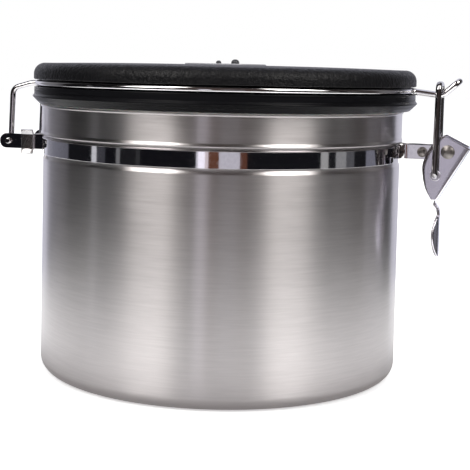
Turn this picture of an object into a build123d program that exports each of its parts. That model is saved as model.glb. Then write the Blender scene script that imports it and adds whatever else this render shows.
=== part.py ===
import os
from math import asin, cos, degrees, radians, sin, sqrt

from build123d import *

# Clearances, and the overrun of every cut
overrun = 1.0
running_gap = 0.06
fit_gap = 0.1
side_gap = 0.2
press_gap = 0.03
seat_gap = 0.05

# Pot: one drawn steel wall, with a groove for the band and a rolled rim
pot_radius = 62.5
pot_height = 92.0
pot_wall = 0.8
base_corner = 4.3
neck_step = 0.5
rim_roll = 0.6
groove_depth = 0.45
groove_margin = 0.3
shoulder_height = 1.7
bead_height = 2.2
bead_proud = 0.35

# Clamp band: two half bands, with hinge arms behind and latch tabs in front
band_height = 5.3
band_thick = 0.7
band_drop = 14.35
arm_half_gap = 14.1
arm_bend = 1.8
arm_reach = 16.45
tab_height = 4.9
tab_lift = 1.15
tab_half_gap = 2.7
tab_bend = 4.4
tab_lead = 4.0
tab_end_reach = 2.4
strip_corner_share = 0.46

# Hinge keeper: a pressed bracket that holds the two arms apart
keeper_out = 3.1
keeper_length = 4.5
keeper_sheet = 0.8
keeper_lip = 1.5
keeper_lip_lean = 0.8

# Lid wire: one wire that rings the lid, with hinge legs behind and a hook in front
wire_radius = 1.0
hinge_reach = 13.0
leg_half_gap = 12.9
leg_lean = 0.7
leg_rise = 18.95
leg_bend = 2.9
leg_foot_bend = 1.15
foot_proud = 1.2
ring_exit_angle = 14.0
arm_lead = 1.4
arm_dip = 0.45
arm_shoulder_bend = 4.0
ring_exit_bend = 2.6
hook_half_gap = 2.2
hook_exit_angle = 5.5
hook_exit_bend = 2.3
hook_dip = 1.2
hook_valley_reach = 14.2
hook_valley_bend = 3.0
hook_tip_run = 5.5
hook_tip_rise = 4.9
hook_tip_bend_share = 0.95

# Lid: a cap over a base, both round, drawn a little towards the latch
lid_shift = 0.8
cap_overhang = 4.2
cap_height = 6.2
cap_crown = 0.65
cap_edge = 3.8
cap_wall = 2.4
cap_inner_edge = 2.4
ring_inset = 0.2
lip_proud = 0.5
lip_rise = 2.4
lip_taper = 2.5
lip_neck_rise = 0.9
skirt_drop = 0.1
base_rise = 5.65
base_plate = 2.4
wire_groove = 2.5
spigot_wall = 2.2
spigot_rise = 1.2

# Gasket, pressed on the pot's rim
gasket_width = 2.6
gasket_height = 1.9
gasket_proud = 0.12

# Screws that hold the cap on the base
screw_count = 4
screw_circle = 40.0
screw_turn = 45.0
screw_radius = 1.3
screw_length = 8.5
screw_head_radius = 2.6
screw_head_height = 1.3
screw_slot_width = 0.6
screw_slot_depth = 0.6
boss_radius = 3.4

# Date dials in the middle of the cap
dial_radius = 14.3
dial_proud = 0.45
dial_stack = 1.95
dial_flange = 0.55
month_radius = 8.2
dial_well_wall = 2.2
hub_radius = 3.0
hub_head_radius = 4.3
hub_head_height = 0.55
hub_tail = 1.2
hub_tail_lip = 0.6
day_pip_radius = 1.4
day_pip_height = 1.5
day_pip_reach = 11.3
day_pip_turn = -57.0
month_pip_radius = 0.95
month_pip_height = 1.1
month_pip_reach = 6.1
month_pip_turn = 130.0
vent_count = 6
vent_radius = 0.8
vent_circle = 10.5

# Gas valve in the middle of the base
valve_radius = 9.0
valve_wall = 1.2
valve_flange_radius = 12.6
valve_flange = 2.2
valve_rise = 4.2
seat_depth = 0.9
seat_height = 0.8
seat_hole_count = 6
seat_hole_radius = 0.8
seat_hole_circle = 4.2
nut_radius = 11.8
nut_height = 1.5
seal_radius = 0.6
disc_radius = 6.6
disc_thick = 0.6
disc_lift = 0.6
valve_cap_thick = 0.8
stop_radius = 1.6
filter_thick = 1.0
grille_thick = 0.7
grille_hole_radius = 0.9
grille_hole_circle = 4.6

# Latch lever: a folded channel on a rivet, with a curled neck and a thumb tab
pivot_reach = 17.0
pivot_lift = 0.4
rivet_radius = 1.5
rivet_head_radius = 2.3
rivet_head_height = 0.8
band_rivet_inset = 8.5
band_rivet_head_radius = 1.75
band_rivet_head_height = 0.8
spacer_wall = 0.7
lever_sheet = 0.9
lever_drop = 17.1
lever_fold = 0.8
cheek_tail_share = (-0.292, -0.957)
cheek_back_shares = [(-0.421, -0.708), (-0.484, -0.345), (-0.440, -0.126), (-0.328, 0.099),
                     (-0.174, 0.264)]
cheek_top_share = (-0.074, 0.316)
web_top_share = (0.421, 0.068)
web_foot_share = (-0.184, -0.971)
neck_width = 3.4
neck_shares = [(-0.190, -0.930), (-0.240, -1.050), (-0.178, -1.150), (-0.155, -1.300)]
thumb_width = 12.0
thumb_length = 14.7
thumb_cup = 1.5
thumb_overlap = 1.0
thumb_out_share = -0.135

# Bail: the wire loop that the lever draws down over the hook
bail_hole_in = 3.9
bail_hole_drop = 8.0
bail_head_half_gap = 4.8
bail_head_in = 3.6
bail_splay = 0.6
bail_foot_bend = 1.15
bail_head_bend = 2.2
bail_foot_length = 1.2
bail_hook_gap = 1.75
eyelet_wall = 0.4
eyelet_rim = 0.35
eyelet_rim_height = 0.3

# Places worked out from the sizes above
groove_radius = pot_radius - groove_depth
neck_radius = pot_radius + neck_step
rim_crown = neck_radius - pot_wall + rim_roll
band_inner = groove_radius + fit_gap
band_middle = band_inner + band_thick / 2
band_z = pot_height - band_drop
tab_z = band_z + tab_lift
arm_y = arm_half_gap + band_thick / 2
tab_y = tab_half_gap + band_thick / 2
lid_axis = Axis((lid_shift, 0, 0), (0, 0, 1))
lid_section = Plane(origin=(lid_shift, 0, 0), x_dir=(1, 0, 0), z_dir=(0, -1, 0))
gasket_bottom = pot_height + seat_gap
base_bottom = gasket_bottom + gasket_proud
base_top = base_bottom + base_rise
cap_bottom = base_top + wire_groove
lid_top = cap_bottom + cap_height
cap_radius = pot_radius + cap_overhang
ring_radius = cap_radius - ring_inset
lip_radius = cap_radius + lip_proud
wire_ring_radius = ring_radius - wire_radius - fit_gap
groove_floor = wire_ring_radius - wire_radius - fit_gap
wire_z = base_top + wire_radius + side_gap
hinge_x = -(pot_radius + hinge_reach)
hinge_z = band_z
pivot_x = pot_radius + pivot_reach
pivot_z = tab_z + pivot_lift
hook_valley_x = pot_radius + hook_valley_reach
hook_valley_z = wire_z - hook_dip
lever_inner = tab_half_gap + band_thick + side_gap
lever_half = lever_inner + lever_sheet
bail_hole = (pivot_x - bail_hole_in, pivot_z - bail_hole_drop)
bail_foot_y = lever_half + fit_gap + rivet_head_height + side_gap + wire_radius + bail_splay
bail_head = (pivot_x - bail_head_in, hook_valley_z + 2 * wire_radius + bail_hook_gap)
cap_inner = groove_floor + fit_gap
cap_ceiling = lid_top - cap_wall
dial_top = lid_top + dial_proud
dial_floor = dial_top - dial_stack - fit_gap
well_bottom = dial_floor - dial_well_wall
valve_bottom = base_bottom - valve_flange
valve_top = base_bottom + valve_rise
seat_top = base_bottom + seat_depth
valve_bore = valve_radius - valve_wall


def pot_outline(inset):
    """Draw the pot's half section, set in by the inset, from its base to its rim's middle."""
    wall = pot_radius - inset
    groove = groove_radius - inset
    neck = neck_radius - inset
    corner = base_corner - inset
    groove_low = band_z - band_height / 2 - groove_margin
    groove_high = band_z + band_height / 2 + groove_margin
    top = pot_height - rim_roll
    Line((0, inset), (wall - corner, inset))
    RadiusArc((wall - corner, inset), (wall, base_corner), -corner)
    Line((wall, base_corner), (wall, groove_low - shoulder_height))
    Spline((wall, groove_low - shoulder_height), (groove, groove_low), tangents=[(0, 1), (0, 1)])
    Line((groove, groove_low), (groove, groove_high))
    Spline((groove, groove_high), (neck + bead_proud, groove_high + bead_height / 2),
           (neck, groove_high + bead_height), tangents=[(0, 1), (0, 1)])
    Polyline((neck, groove_high + bead_height), (neck, top), (0, top), (0, inset))


def strip_tangents(middle, bend, offset):
    """Where a strip on the band's circle bends outwards to run along X at the offset."""
    centre_y = offset + bend
    centre_x = sqrt((middle + bend) ** 2 - centre_y ** 2)
    share = middle / (middle + bend)
    return centre_x, centre_y, (centre_x * share, centre_y * share)


def half_band(side):
    """One half band on its side of the pot, 1 or -1 in Y."""
    rear_x, rear_y, rear_point = strip_tangents(band_middle, arm_bend, arm_y)
    front_x, front_y, front_point = strip_tangents(band_middle, tab_bend, tab_y)
    lead_angle = degrees(asin(front_point[1] / band_middle)) + degrees(tab_lead / band_middle)
    lead_point = (band_middle * cos(radians(lead_angle)), side * band_middle * sin(radians(lead_angle)))
    arm_end = -(pot_radius + arm_reach)
    with BuildPart() as band:
        with BuildSketch(Plane.XY.offset(band_z - band_height / 2)):
            with BuildLine():
                arm = Line((arm_end, side * arm_y), (-rear_x, side * arm_y))
                bend = RadiusArc(arm @ 1, (-rear_point[0], side * rear_point[1]), side * arm_bend)
                ThreePointArc(bend @ 1, (0, side * band_middle), lead_point)
            trace(line_width=band_thick)
        extrude(amount=band_height)
        with BuildSketch(Plane.XY.offset(tab_z - tab_height / 2)):
            with BuildLine():
                bend = RadiusArc((front_point[0], side * front_point[1]), (front_x, side * tab_y),
                                 side * tab_bend)
                Line(bend @ 1, (pivot_x + tab_end_reach, side * tab_y))
                middle_angle = radians((lead_angle + degrees(asin(front_point[1] / band_middle))) / 2)
                middle_point = (band_middle * cos(middle_angle), side * band_middle * sin(middle_angle))
                ThreePointArc(lead_point, middle_point, bend @ 0)
            trace(line_width=band_thick)
        extrude(amount=tab_height)
        ends = band.edges().filter_by(Axis.Y)
        fillet(ends.group_by(Axis.X)[0], strip_corner_share * band_height)
        fillet(band.edges().filter_by(Axis.Y).group_by(Axis.X)[-1], strip_corner_share * tab_height)
        holes = [
            (hinge_x, hinge_z, wire_radius + running_gap),
            (pivot_x - band_rivet_inset, tab_z, rivet_radius + press_gap),
            (pivot_x, pivot_z, rivet_radius + press_gap),
        ]
        for x, z, radius in holes:
            with BuildSketch(Plane.XZ.offset(-side * arm_y / 2)):
                with Locations((x, z)):
                    Circle(radius)
            extrude(amount=arm_y * 2, both=True, mode=Mode.SUBTRACT)
    return band.part


def wire_body(line, radius):
    """Round wire along half a symmetric path that ends on the XZ plane, with its mirror."""
    with BuildPart() as wire:
        with BuildSketch(Plane(origin=line @ 0, z_dir=line % 0)):
            Circle(radius)
        sweep(path=line)
        mirror(about=Plane.XZ)
    return wire.part


def rivet_body(x, z, grip, shank, head, height):
    """Rivet across Y with a domed head on each end."""
    dome = (head ** 2 + height ** 2) / (2 * height)
    with BuildPart() as rivet:
        with BuildSketch(Plane(origin=(x, 0, z), x_dir=(1, 0, 0), z_dir=(0, 0, 1))):
            with BuildLine():
                Polyline((shank, -grip), (shank, grip), (head, grip))
                RadiusArc((head, grip), (0, grip + height), -dome)
                Line((0, grip + height), (0, -grip - height))
                RadiusArc((0, -grip - height), (head, -grip), -dome)
                Line((head, -grip), (shank, -grip))
            make_face()
        revolve(axis=Axis((x, 0, z), (0, 1, 0)))
    return rivet.part


os.makedirs("parts", exist_ok=True)

# The pot
with BuildPart() as pot:
    with BuildSketch(Plane.XZ):
        with BuildLine():
            pot_outline(0)
        make_face()
        with Locations((rim_crown, pot_height - rim_roll)):
            Circle(rim_roll)
    revolve(axis=Axis.Z)
    with BuildSketch(Plane.XZ):
        with BuildLine():
            pot_outline(pot_wall)
        make_face()
        with Locations((0, pot_height - rim_roll)):
            Rectangle(neck_radius - pot_wall, rim_roll + overrun, align=(Align.MIN, Align.MIN))
    revolve(axis=Axis.Z, mode=Mode.SUBTRACT)
pot.part.label = "pot"
export_step(pot.part, "parts/pot.step")

# The two half bands
band_near = half_band(-1)
band_near.label = "band_near"
export_step(band_near, "parts/band_near.step")
band_far = half_band(1)
band_far.label = "band_far"
export_step(band_far, "parts/band_far.step")

# The hinge keeper: a web between the arms, with a folded side and leaning lips on each arm
keeper_start = -(pot_radius + keeper_out)
keeper_side = arm_half_gap + band_thick + fit_gap
keeper_low = band_z - band_height / 2 - fit_gap
keeper_high = band_z + band_height / 2 + fit_gap
with BuildPart() as hinge_keeper:
    for side in (-1, 1):
        inner = side * keeper_side
        outer = side * (keeper_side + keeper_sheet)
        inner_lean = side * (keeper_side + keeper_lip_lean)
        outer_lean = side * (keeper_side + keeper_sheet + keeper_lip_lean)
        with BuildSketch(Plane.YZ.offset(keeper_start)):
            with BuildLine():
                Polyline((inner, keeper_low), (inner, keeper_high), (inner_lean, keeper_high + keeper_lip),
                         (outer_lean, keeper_high + keeper_lip), (outer, keeper_high), (outer, keeper_low),
                         (outer_lean, keeper_low - keeper_lip), (inner_lean, keeper_low - keeper_lip),
                         close=True)
            make_face()
        extrude(amount=-keeper_length)
    with BuildSketch(Plane.YZ.offset(keeper_start)):
        with Locations((0, band_z)):
            Rectangle(2 * keeper_side + keeper_sheet, keeper_high - keeper_low + 2 * keeper_sheet)
            for side in (-1, 1):
                with Locations((side * arm_y, 0)):
                    Rectangle(band_thick + 2 * fit_gap, keeper_high - keeper_low, mode=Mode.SUBTRACT)
    extrude(amount=-keeper_sheet)
hinge_keeper.part.label = "hinge_keeper"
export_step(hinge_keeper.part, "parts/hinge_keeper.step")

# Rivets through the tabs, and the tubes that keep the tabs apart
band_rivet = rivet_body(pivot_x - band_rivet_inset, tab_z, tab_half_gap + band_thick, rivet_radius,
                        band_rivet_head_radius, band_rivet_head_height)
band_rivet.label = "band_rivet"
export_step(band_rivet, "parts/band_rivet.step")
lever_rivet = rivet_body(pivot_x, pivot_z, lever_half + fit_gap, rivet_radius,
                         rivet_head_radius, rivet_head_height)
lever_rivet.label = "lever_rivet"
export_step(lever_rivet, "parts/lever_rivet.step")
with BuildPart() as tab_spacers:
    with BuildSketch(Plane.XZ):
        for x, z in ((pivot_x - band_rivet_inset, tab_z), (pivot_x, pivot_z)):
            with Locations((x, z)):
                Circle(rivet_radius + press_gap + spacer_wall)
                Circle(rivet_radius + press_gap, mode=Mode.SUBTRACT)
    extrude(amount=tab_half_gap, both=True)
tab_spacers.part.label = "tab_spacers"
export_step(tab_spacers.part, "parts/tab_spacers.step")

# The lid wire, as half a path from the hinge foot to the middle of the hook's tip
exit_angle = radians(ring_exit_angle)
hook_angle = radians(hook_exit_angle)
rear_point = (lid_shift - wire_ring_radius * cos(exit_angle), -wire_ring_radius * sin(exit_angle))
rear_run = (wire_ring_radius * sin(exit_angle) - leg_half_gap) / cos(exit_angle)
front_point = (lid_shift + wire_ring_radius * cos(hook_angle), -wire_ring_radius * sin(hook_angle))
front_run = (wire_ring_radius * sin(hook_angle) - hook_half_gap) / cos(hook_angle)
leg_top_x = hinge_x + leg_lean
tip_x = hook_valley_x + hook_tip_run
tip_z = hook_valley_z + hook_tip_rise
foot_end = arm_half_gap + band_thick + foot_proud
with BuildLine() as lid_wire_path:
    FilletPolyline(
        (hinge_x, -foot_end, hinge_z),
        (hinge_x, -leg_half_gap, hinge_z),
        (leg_top_x, -leg_half_gap, hinge_z + leg_rise),
        (lid_shift - lip_radius - arm_lead, -leg_half_gap, wire_z - arm_dip),
        (rear_point[0] - rear_run * sin(exit_angle), -leg_half_gap, wire_z),
        (*rear_point, wire_z),
        radius=[leg_foot_bend, leg_bend, arm_shoulder_bend, ring_exit_bend],
    )
    ThreePointArc((*rear_point, wire_z), (lid_shift, -wire_ring_radius, wire_z), (*front_point, wire_z))
    FilletPolyline(
        (*front_point, wire_z),
        (front_point[0] + front_run * sin(hook_angle), -hook_half_gap, wire_z),
        (hook_valley_x, -hook_half_gap, hook_valley_z),
        (tip_x, -hook_half_gap, tip_z),
        (tip_x, 0, tip_z),
        radius=[hook_exit_bend, hook_valley_bend, hook_half_gap * hook_tip_bend_share],
    )
lid_wire = wire_body(lid_wire_path.line, wire_radius)
lid_wire.label = "lid_wire"
export_step(lid_wire, "parts/lid_wire.step")

# The lid cap: a low crowned cover with a well for the dials and four screw bosses
well_radius = dial_radius + side_gap
crown_radius = well_radius + dial_well_wall
shoulder_radius = cap_radius - cap_edge
shoulder_z = lid_top - cap_crown
crown_bend = ((shoulder_radius - crown_radius) ** 2 + cap_crown ** 2) / (2 * cap_crown)
with BuildPart() as lid_cap:
    with BuildSketch(lid_section):
        with BuildLine():
            Polyline((0, cap_bottom), (cap_radius, cap_bottom), (cap_radius, shoulder_z - cap_edge))
            RadiusArc((cap_radius, shoulder_z - cap_edge), (shoulder_radius, shoulder_z), -cap_edge)
            RadiusArc((shoulder_radius, shoulder_z), (crown_radius, lid_top), -crown_bend)
            Polyline((crown_radius, lid_top), (0, lid_top), (0, cap_bottom))
        make_face()
        with BuildLine():
            Polyline((0, cap_bottom - overrun), (cap_inner, cap_bottom - overrun),
                     (cap_inner, cap_ceiling - cap_inner_edge))
            RadiusArc((cap_inner, cap_ceiling - cap_inner_edge), (cap_inner - cap_inner_edge, cap_ceiling),
                      -cap_inner_edge)
            Polyline((cap_inner - cap_inner_edge, cap_ceiling), (0, cap_ceiling), (0, cap_bottom - overrun))
        make_face(mode=Mode.SUBTRACT)
        with Locations((0, well_bottom)):
            Rectangle(crown_radius, lid_top - well_bottom, align=(Align.MIN, Align.MIN))
        with Locations((0, dial_floor)):
            Rectangle(well_radius, dial_stack + overrun, align=(Align.MIN, Align.MIN), mode=Mode.SUBTRACT)
        with Locations((0, well_bottom - overrun)):
            Rectangle(hub_radius + press_gap, dial_stack + dial_well_wall + 2 * overrun,
                      align=(Align.MIN, Align.MIN), mode=Mode.SUBTRACT)
    revolve(axis=lid_axis)
    boss_bottom = base_bottom + base_plate
    with BuildSketch(Plane.XY.offset(boss_bottom)):
        with Locations((lid_shift, 0)):
            with PolarLocations(screw_circle, screw_count, start_angle=screw_turn):
                Circle(boss_radius)
    extrude(amount=cap_ceiling - boss_bottom)
    with BuildSketch(Plane.XY.offset(boss_bottom - overrun)):
        with Locations((lid_shift, 0)):
            with PolarLocations(screw_circle, screw_count, start_angle=screw_turn):
                Circle(screw_radius + press_gap)
    extrude(amount=screw_length + overrun, mode=Mode.SUBTRACT)
    with BuildSketch(Plane.XY.offset(well_bottom)):
        with Locations((lid_shift, 0)):
            with PolarLocations(vent_circle, vent_count):
                Circle(vent_radius)
    extrude(amount=dial_well_wall, mode=Mode.SUBTRACT)
lid_cap.part.label = "lid_cap"
export_step(lid_cap.part, "parts/lid_cap.step")

# The lid base: the ring under the wire, its plate, and the spigot inside the cap
gasket_inner = rim_crown - gasket_width / 2
gasket_outer = rim_crown + gasket_width / 2
foot_radius = lip_radius - lip_taper
plate_top = base_bottom + base_plate
with BuildPart() as lid_base:
    with BuildSketch(lid_section):
        with BuildLine():
            Polyline(
                (0, base_bottom),
                (gasket_outer, base_bottom),
                (gasket_outer, base_bottom - skirt_drop),
                (foot_radius, base_bottom - skirt_drop),
                (lip_radius, base_bottom + lip_rise),
                (ring_radius, base_bottom + lip_rise + lip_neck_rise),
                (ring_radius, base_top),
                (groove_floor, base_top),
                (groove_floor, cap_bottom + spigot_rise),
                (groove_floor - spigot_wall, cap_bottom + spigot_rise),
                (groove_floor - spigot_wall, plate_top),
                (0, plate_top),
                close=True,
            )
        make_face()
        with Locations((gasket_inner, base_bottom - overrun)):
            Rectangle(gasket_width, gasket_height - gasket_proud + overrun, align=(Align.MIN, Align.MIN),
                      mode=Mode.SUBTRACT)
        with Locations((0, base_bottom - overrun)):
            Rectangle(valve_radius + fit_gap, base_plate + 2 * overrun, align=(Align.MIN, Align.MIN),
                      mode=Mode.SUBTRACT)
    revolve(axis=lid_axis)
    with Locations(Location((lid_shift, 0, base_bottom), (180, 0, 0))):
        with PolarLocations(screw_circle, screw_count, start_angle=screw_turn):
            CounterSinkHole(screw_radius + fit_gap, screw_head_radius + fit_gap, base_plate + overrun)
lid_base.part.label = "lid_base"
export_step(lid_base.part, "parts/lid_base.step")

# The gasket
with BuildPart() as lid_gasket:
    with BuildSketch(lid_section):
        with Locations((gasket_inner + press_gap, gasket_bottom)):
            Rectangle(gasket_width - 2 * press_gap, gasket_height, align=(Align.MIN, Align.MIN))
        fillet(vertices(), gasket_proud - seat_gap)
    revolve(axis=lid_axis)
lid_gasket.part.label = "lid_gasket"
export_step(lid_gasket.part, "parts/lid_gasket.step")

# The lid screws, countersunk in the base and cut in the bosses
with BuildPart() as lid_screw:
    with BuildSketch(Plane.XZ):
        with BuildLine():
            Polyline((0, 0), (screw_head_radius, 0), (screw_radius, screw_head_height),
                     (screw_radius, screw_length), (0, screw_length), close=True)
        make_face()
    revolve(axis=Axis.Z)
    with BuildSketch():
        Rectangle(2 * screw_head_radius, screw_slot_width)
        Rectangle(screw_slot_width, 2 * screw_head_radius)
    extrude(amount=screw_slot_depth, mode=Mode.SUBTRACT)
with BuildPart() as lid_screws:
    with Locations((lid_shift, 0, base_bottom + seat_gap)):
        with PolarLocations(screw_circle, screw_count, start_angle=screw_turn):
            add(lid_screw.part)
lid_screws.part.label = "lid_screws"
export_step(lid_screws.part, "parts/lid_screws.step")

# The day dial: a cup whose flange lies under the month dial
flange_top = dial_floor + fit_gap + dial_flange
with BuildPart() as day_dial:
    with BuildSketch(lid_section):
        with Locations((hub_radius + running_gap, dial_floor + fit_gap)):
            Rectangle(dial_radius - hub_radius - running_gap, dial_flange, align=(Align.MIN, Align.MIN))
        with Locations((month_radius + side_gap, dial_floor + fit_gap)):
            Rectangle(dial_radius - month_radius - side_gap, dial_stack, align=(Align.MIN, Align.MIN))
    revolve(axis=lid_axis)
    pip_angle = radians(day_pip_turn)
    with BuildSketch(Plane.XY.offset(dial_top)):
        with Locations((lid_shift + day_pip_reach * cos(pip_angle), day_pip_reach * sin(pip_angle))):
            Circle(day_pip_radius)
    extrude(amount=day_pip_height)
    fillet(day_dial.faces().sort_by(Axis.Z)[-1].edges(), day_pip_radius / 2)
day_dial.part.label = "day_dial"
export_step(day_dial.part, "parts/day_dial.step")

# The month dial
with BuildPart() as month_dial:
    with BuildSketch(lid_section):
        with Locations((hub_radius + running_gap, flange_top + fit_gap)):
            Rectangle(month_radius - hub_radius - running_gap, dial_top - flange_top - fit_gap,
                      align=(Align.MIN, Align.MIN))
        with Locations((0, dial_top - hub_head_height - fit_gap)):
            Rectangle(hub_head_radius + side_gap, hub_head_height + overrun, align=(Align.MIN, Align.MIN),
                      mode=Mode.SUBTRACT)
    revolve(axis=lid_axis)
    pip_angle = radians(month_pip_turn)
    with BuildSketch(Plane.XY.offset(dial_top)):
        with Locations((lid_shift + month_pip_reach * cos(pip_angle), month_pip_reach * sin(pip_angle))):
            Circle(month_pip_radius)
    extrude(amount=month_pip_height)
    fillet(month_dial.faces().sort_by(Axis.Z)[-1].edges(), month_pip_radius / 2)
month_dial.part.label = "month_dial"
export_step(month_dial.part, "parts/month_dial.step")

# The dial hub: a headed pin, spread under the well's floor
with BuildPart() as dial_hub:
    with BuildSketch(lid_section):
        with Locations((0, dial_top - hub_head_height)):
            Rectangle(hub_head_radius, hub_head_height, align=(Align.MIN, Align.MIN))
        with Locations((0, well_bottom - hub_tail)):
            Rectangle(hub_radius, dial_top - well_bottom + hub_tail, align=(Align.MIN, Align.MIN))
            Rectangle(hub_radius + hub_tail_lip, hub_tail, align=(Align.MIN, Align.MIN))
    revolve(axis=lid_axis)
dial_hub.part.label = "dial_hub"
export_step(dial_hub.part, "parts/dial_hub.step")

# The valve housing: a flanged cup with a seat, a groove for the seal and a neck for the nut
seal_centre = (valve_radius + fit_gap + valve_flange_radius) / 2
seat_bottom = seat_top - seat_height
with BuildPart() as valve_housing:
    with BuildSketch(lid_section):
        with Locations((0, valve_bottom)):
            Rectangle(valve_radius, valve_top - valve_bottom, align=(Align.MIN, Align.MIN))
            Rectangle(valve_flange_radius, valve_flange, align=(Align.MIN, Align.MIN))
        with Locations((0, valve_bottom - overrun)):
            Rectangle(valve_bore, seat_bottom - valve_bottom + overrun, align=(Align.MIN, Align.MIN),
                      mode=Mode.SUBTRACT)
        with Locations((0, seat_top)):
            Rectangle(valve_bore, valve_top - seat_top + overrun, align=(Align.MIN, Align.MIN),
                      mode=Mode.SUBTRACT)
        with Locations((seal_centre, base_bottom)):
            Rectangle(2 * (seal_radius + fit_gap), 4 * seal_radius, mode=Mode.SUBTRACT)
    revolve(axis=lid_axis)
    with BuildSketch(Plane.XY.offset(seat_bottom - overrun)):
        with Locations((lid_shift, 0)):
            with PolarLocations(seat_hole_circle, seat_hole_count):
                Circle(seat_hole_radius)
    extrude(amount=seat_height + 2 * overrun, mode=Mode.SUBTRACT)
valve_housing.part.label = "valve_housing"
export_step(valve_housing.part, "parts/valve_housing.step")

# The valve nut, on top of the plate
with BuildPart() as valve_nut:
    with BuildSketch(Plane.XY.offset(plate_top)):
        with Locations((lid_shift, 0)):
            RegularPolygon(nut_radius, 6)
            Circle(valve_radius + press_gap, mode=Mode.SUBTRACT)
    extrude(amount=nut_height)
valve_nut.part.label = "valve_nut"
export_step(valve_nut.part, "parts/valve_nut.step")

# The valve seal, an O-ring in the flange's groove
with BuildPart() as valve_seal:
    with BuildSketch(lid_section):
        with Locations((seal_centre, base_bottom - seal_radius)):
            Circle(seal_radius)
    revolve(axis=lid_axis)
valve_seal.part.label = "valve_seal"
export_step(valve_seal.part, "parts/valve_seal.step")

# The valve disc, a soft flap that lifts off its seat
with BuildPart() as valve_disc:
    with BuildSketch(Plane.XY.offset(seat_top + seat_gap)):
        with Locations((lid_shift, 0)):
            Circle(disc_radius)
    extrude(amount=disc_thick)
valve_disc.part.label = "valve_disc"
export_step(valve_disc.part, "parts/valve_disc.step")

# The valve cap, whose stop ends the disc's lift
stop_bottom = seat_top + seat_gap + disc_thick + disc_lift + seat_gap
with BuildPart() as valve_cap:
    with BuildSketch(Plane.XY.offset(valve_top - valve_cap_thick)):
        with Locations((lid_shift, 0)):
            Circle(valve_bore - press_gap)
            with PolarLocations(seat_hole_circle, seat_hole_count):
                Circle(seat_hole_radius, mode=Mode.SUBTRACT)
    extrude(amount=valve_cap_thick)
    with BuildSketch(Plane.XY.offset(stop_bottom)):
        with Locations((lid_shift, 0)):
            Circle(stop_radius)
    extrude(amount=valve_top - valve_cap_thick - stop_bottom)
valve_cap.part.label = "valve_cap"
export_step(valve_cap.part, "parts/valve_cap.step")

# The valve filter, a felt disc under the seat
with BuildPart() as valve_filter:
    with BuildSketch(Plane.XY.offset(seat_bottom - seat_gap - filter_thick)):
        with Locations((lid_shift, 0)):
            Circle(valve_bore - press_gap)
    extrude(amount=filter_thick)
valve_filter.part.label = "valve_filter"
export_step(valve_filter.part, "parts/valve_filter.step")

# The valve grille, pressed in under the filter
grille_top = seat_bottom - 2 * seat_gap - filter_thick
with BuildPart() as valve_grille:
    with BuildSketch(Plane.XY.offset(grille_top - grille_thick)):
        with Locations((lid_shift, 0)):
            Circle(valve_bore - press_gap)
            Circle(grille_hole_radius, mode=Mode.SUBTRACT)
            with PolarLocations(grille_hole_circle, seat_hole_count):
                Circle(grille_hole_radius, mode=Mode.SUBTRACT)
    extrude(amount=grille_thick)
valve_grille.part.label = "valve_grille"
export_step(valve_grille.part, "parts/valve_grille.step")


def lever_point(share):
    """A place on the lever's side view, from shares of its drop below the pivot."""
    return (pivot_x + share[0] * lever_drop, pivot_z + share[1] * lever_drop)


# Places on the lever
web_top = Vector(*lever_point(web_top_share))
web_foot = Vector(*lever_point(web_foot_share))
web_run = (web_top - web_foot).normalized()
web_plane = Plane(origin=(web_foot.X, 0, web_foot.Y), x_dir=(web_run.X, 0, web_run.Y), z_dir=(0, -1, 0))
web_length = (web_top - web_foot).length
thumb_bend = (thumb_width ** 2 / 4 + thumb_cup ** 2) / (2 * thumb_cup)
thumb_x = pivot_x + thumb_out_share * lever_drop
neck_foot = lever_point(neck_shares[-1])
thumb_z = neck_foot[1] + thumb_overlap - thumb_length / 2
# The thumb tab: an oval cut from a cylinder's wall
with BuildPart() as thumb:
    with BuildSketch(Plane.YZ.offset(thumb_x - thumb_width)):
        with Locations((0, thumb_z)):
            Ellipse(thumb_width / 2, thumb_length / 2)
    extrude(amount=2 * thumb_width)
    with BuildSketch(Plane.XY.offset(thumb_z - thumb_length)):
        with Locations((thumb_x - thumb_bend, 0)):
            Circle(thumb_bend)
            Circle(thumb_bend - lever_sheet, mode=Mode.SUBTRACT)
            Rectangle(2 * thumb_bend, 2 * thumb_bend, align=(Align.MAX, Align.CENTER),
                      mode=Mode.SUBTRACT)
    extrude(amount=2 * thumb_length, mode=Mode.INTERSECT)

# The latch lever, with the thumb tab on the end of its neck
with BuildPart() as latch_lever:
    with BuildSketch(Plane.XZ):
        with BuildLine():
            tail = lever_point(cheek_tail_share)
            top = lever_point(cheek_top_share)
            Polyline(top, lever_point(web_top_share), lever_point(web_foot_share), tail)
            Spline(tail, *[lever_point(share) for share in cheek_back_shares], top)
        make_face()
    extrude(amount=lever_half, both=True)
    folds = latch_lever.edges().filter_by(lambda edge: abs((edge % 0.5).dot(web_plane.x_dir)) > 0.9999)
    fillet(folds, lever_fold)
    with BuildSketch(web_plane):
        with Locations((-lever_drop, lever_sheet)):
            Rectangle(web_length + 2 * lever_drop, lever_drop, align=(Align.MIN, Align.MIN))
    extrude(amount=lever_inner, both=True, mode=Mode.SUBTRACT)
    with BuildSketch(Plane.XZ):
        with Locations((pivot_x, pivot_z)):
            Circle(rivet_radius + running_gap)
        with Locations(bail_hole):
            Circle(wire_radius + running_gap + eyelet_wall + press_gap)
    extrude(amount=lever_half + overrun, both=True, mode=Mode.SUBTRACT)
    with BuildSketch(Plane.XZ):
        with BuildLine():
            Spline(*[lever_point(share) for share in neck_shares])
        trace(line_width=lever_sheet)
    extrude(amount=neck_width / 2, both=True)
    add(thumb.part)
latch_lever.part.label = "latch_lever"
export_step(latch_lever.part, "parts/latch_lever.step")

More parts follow.
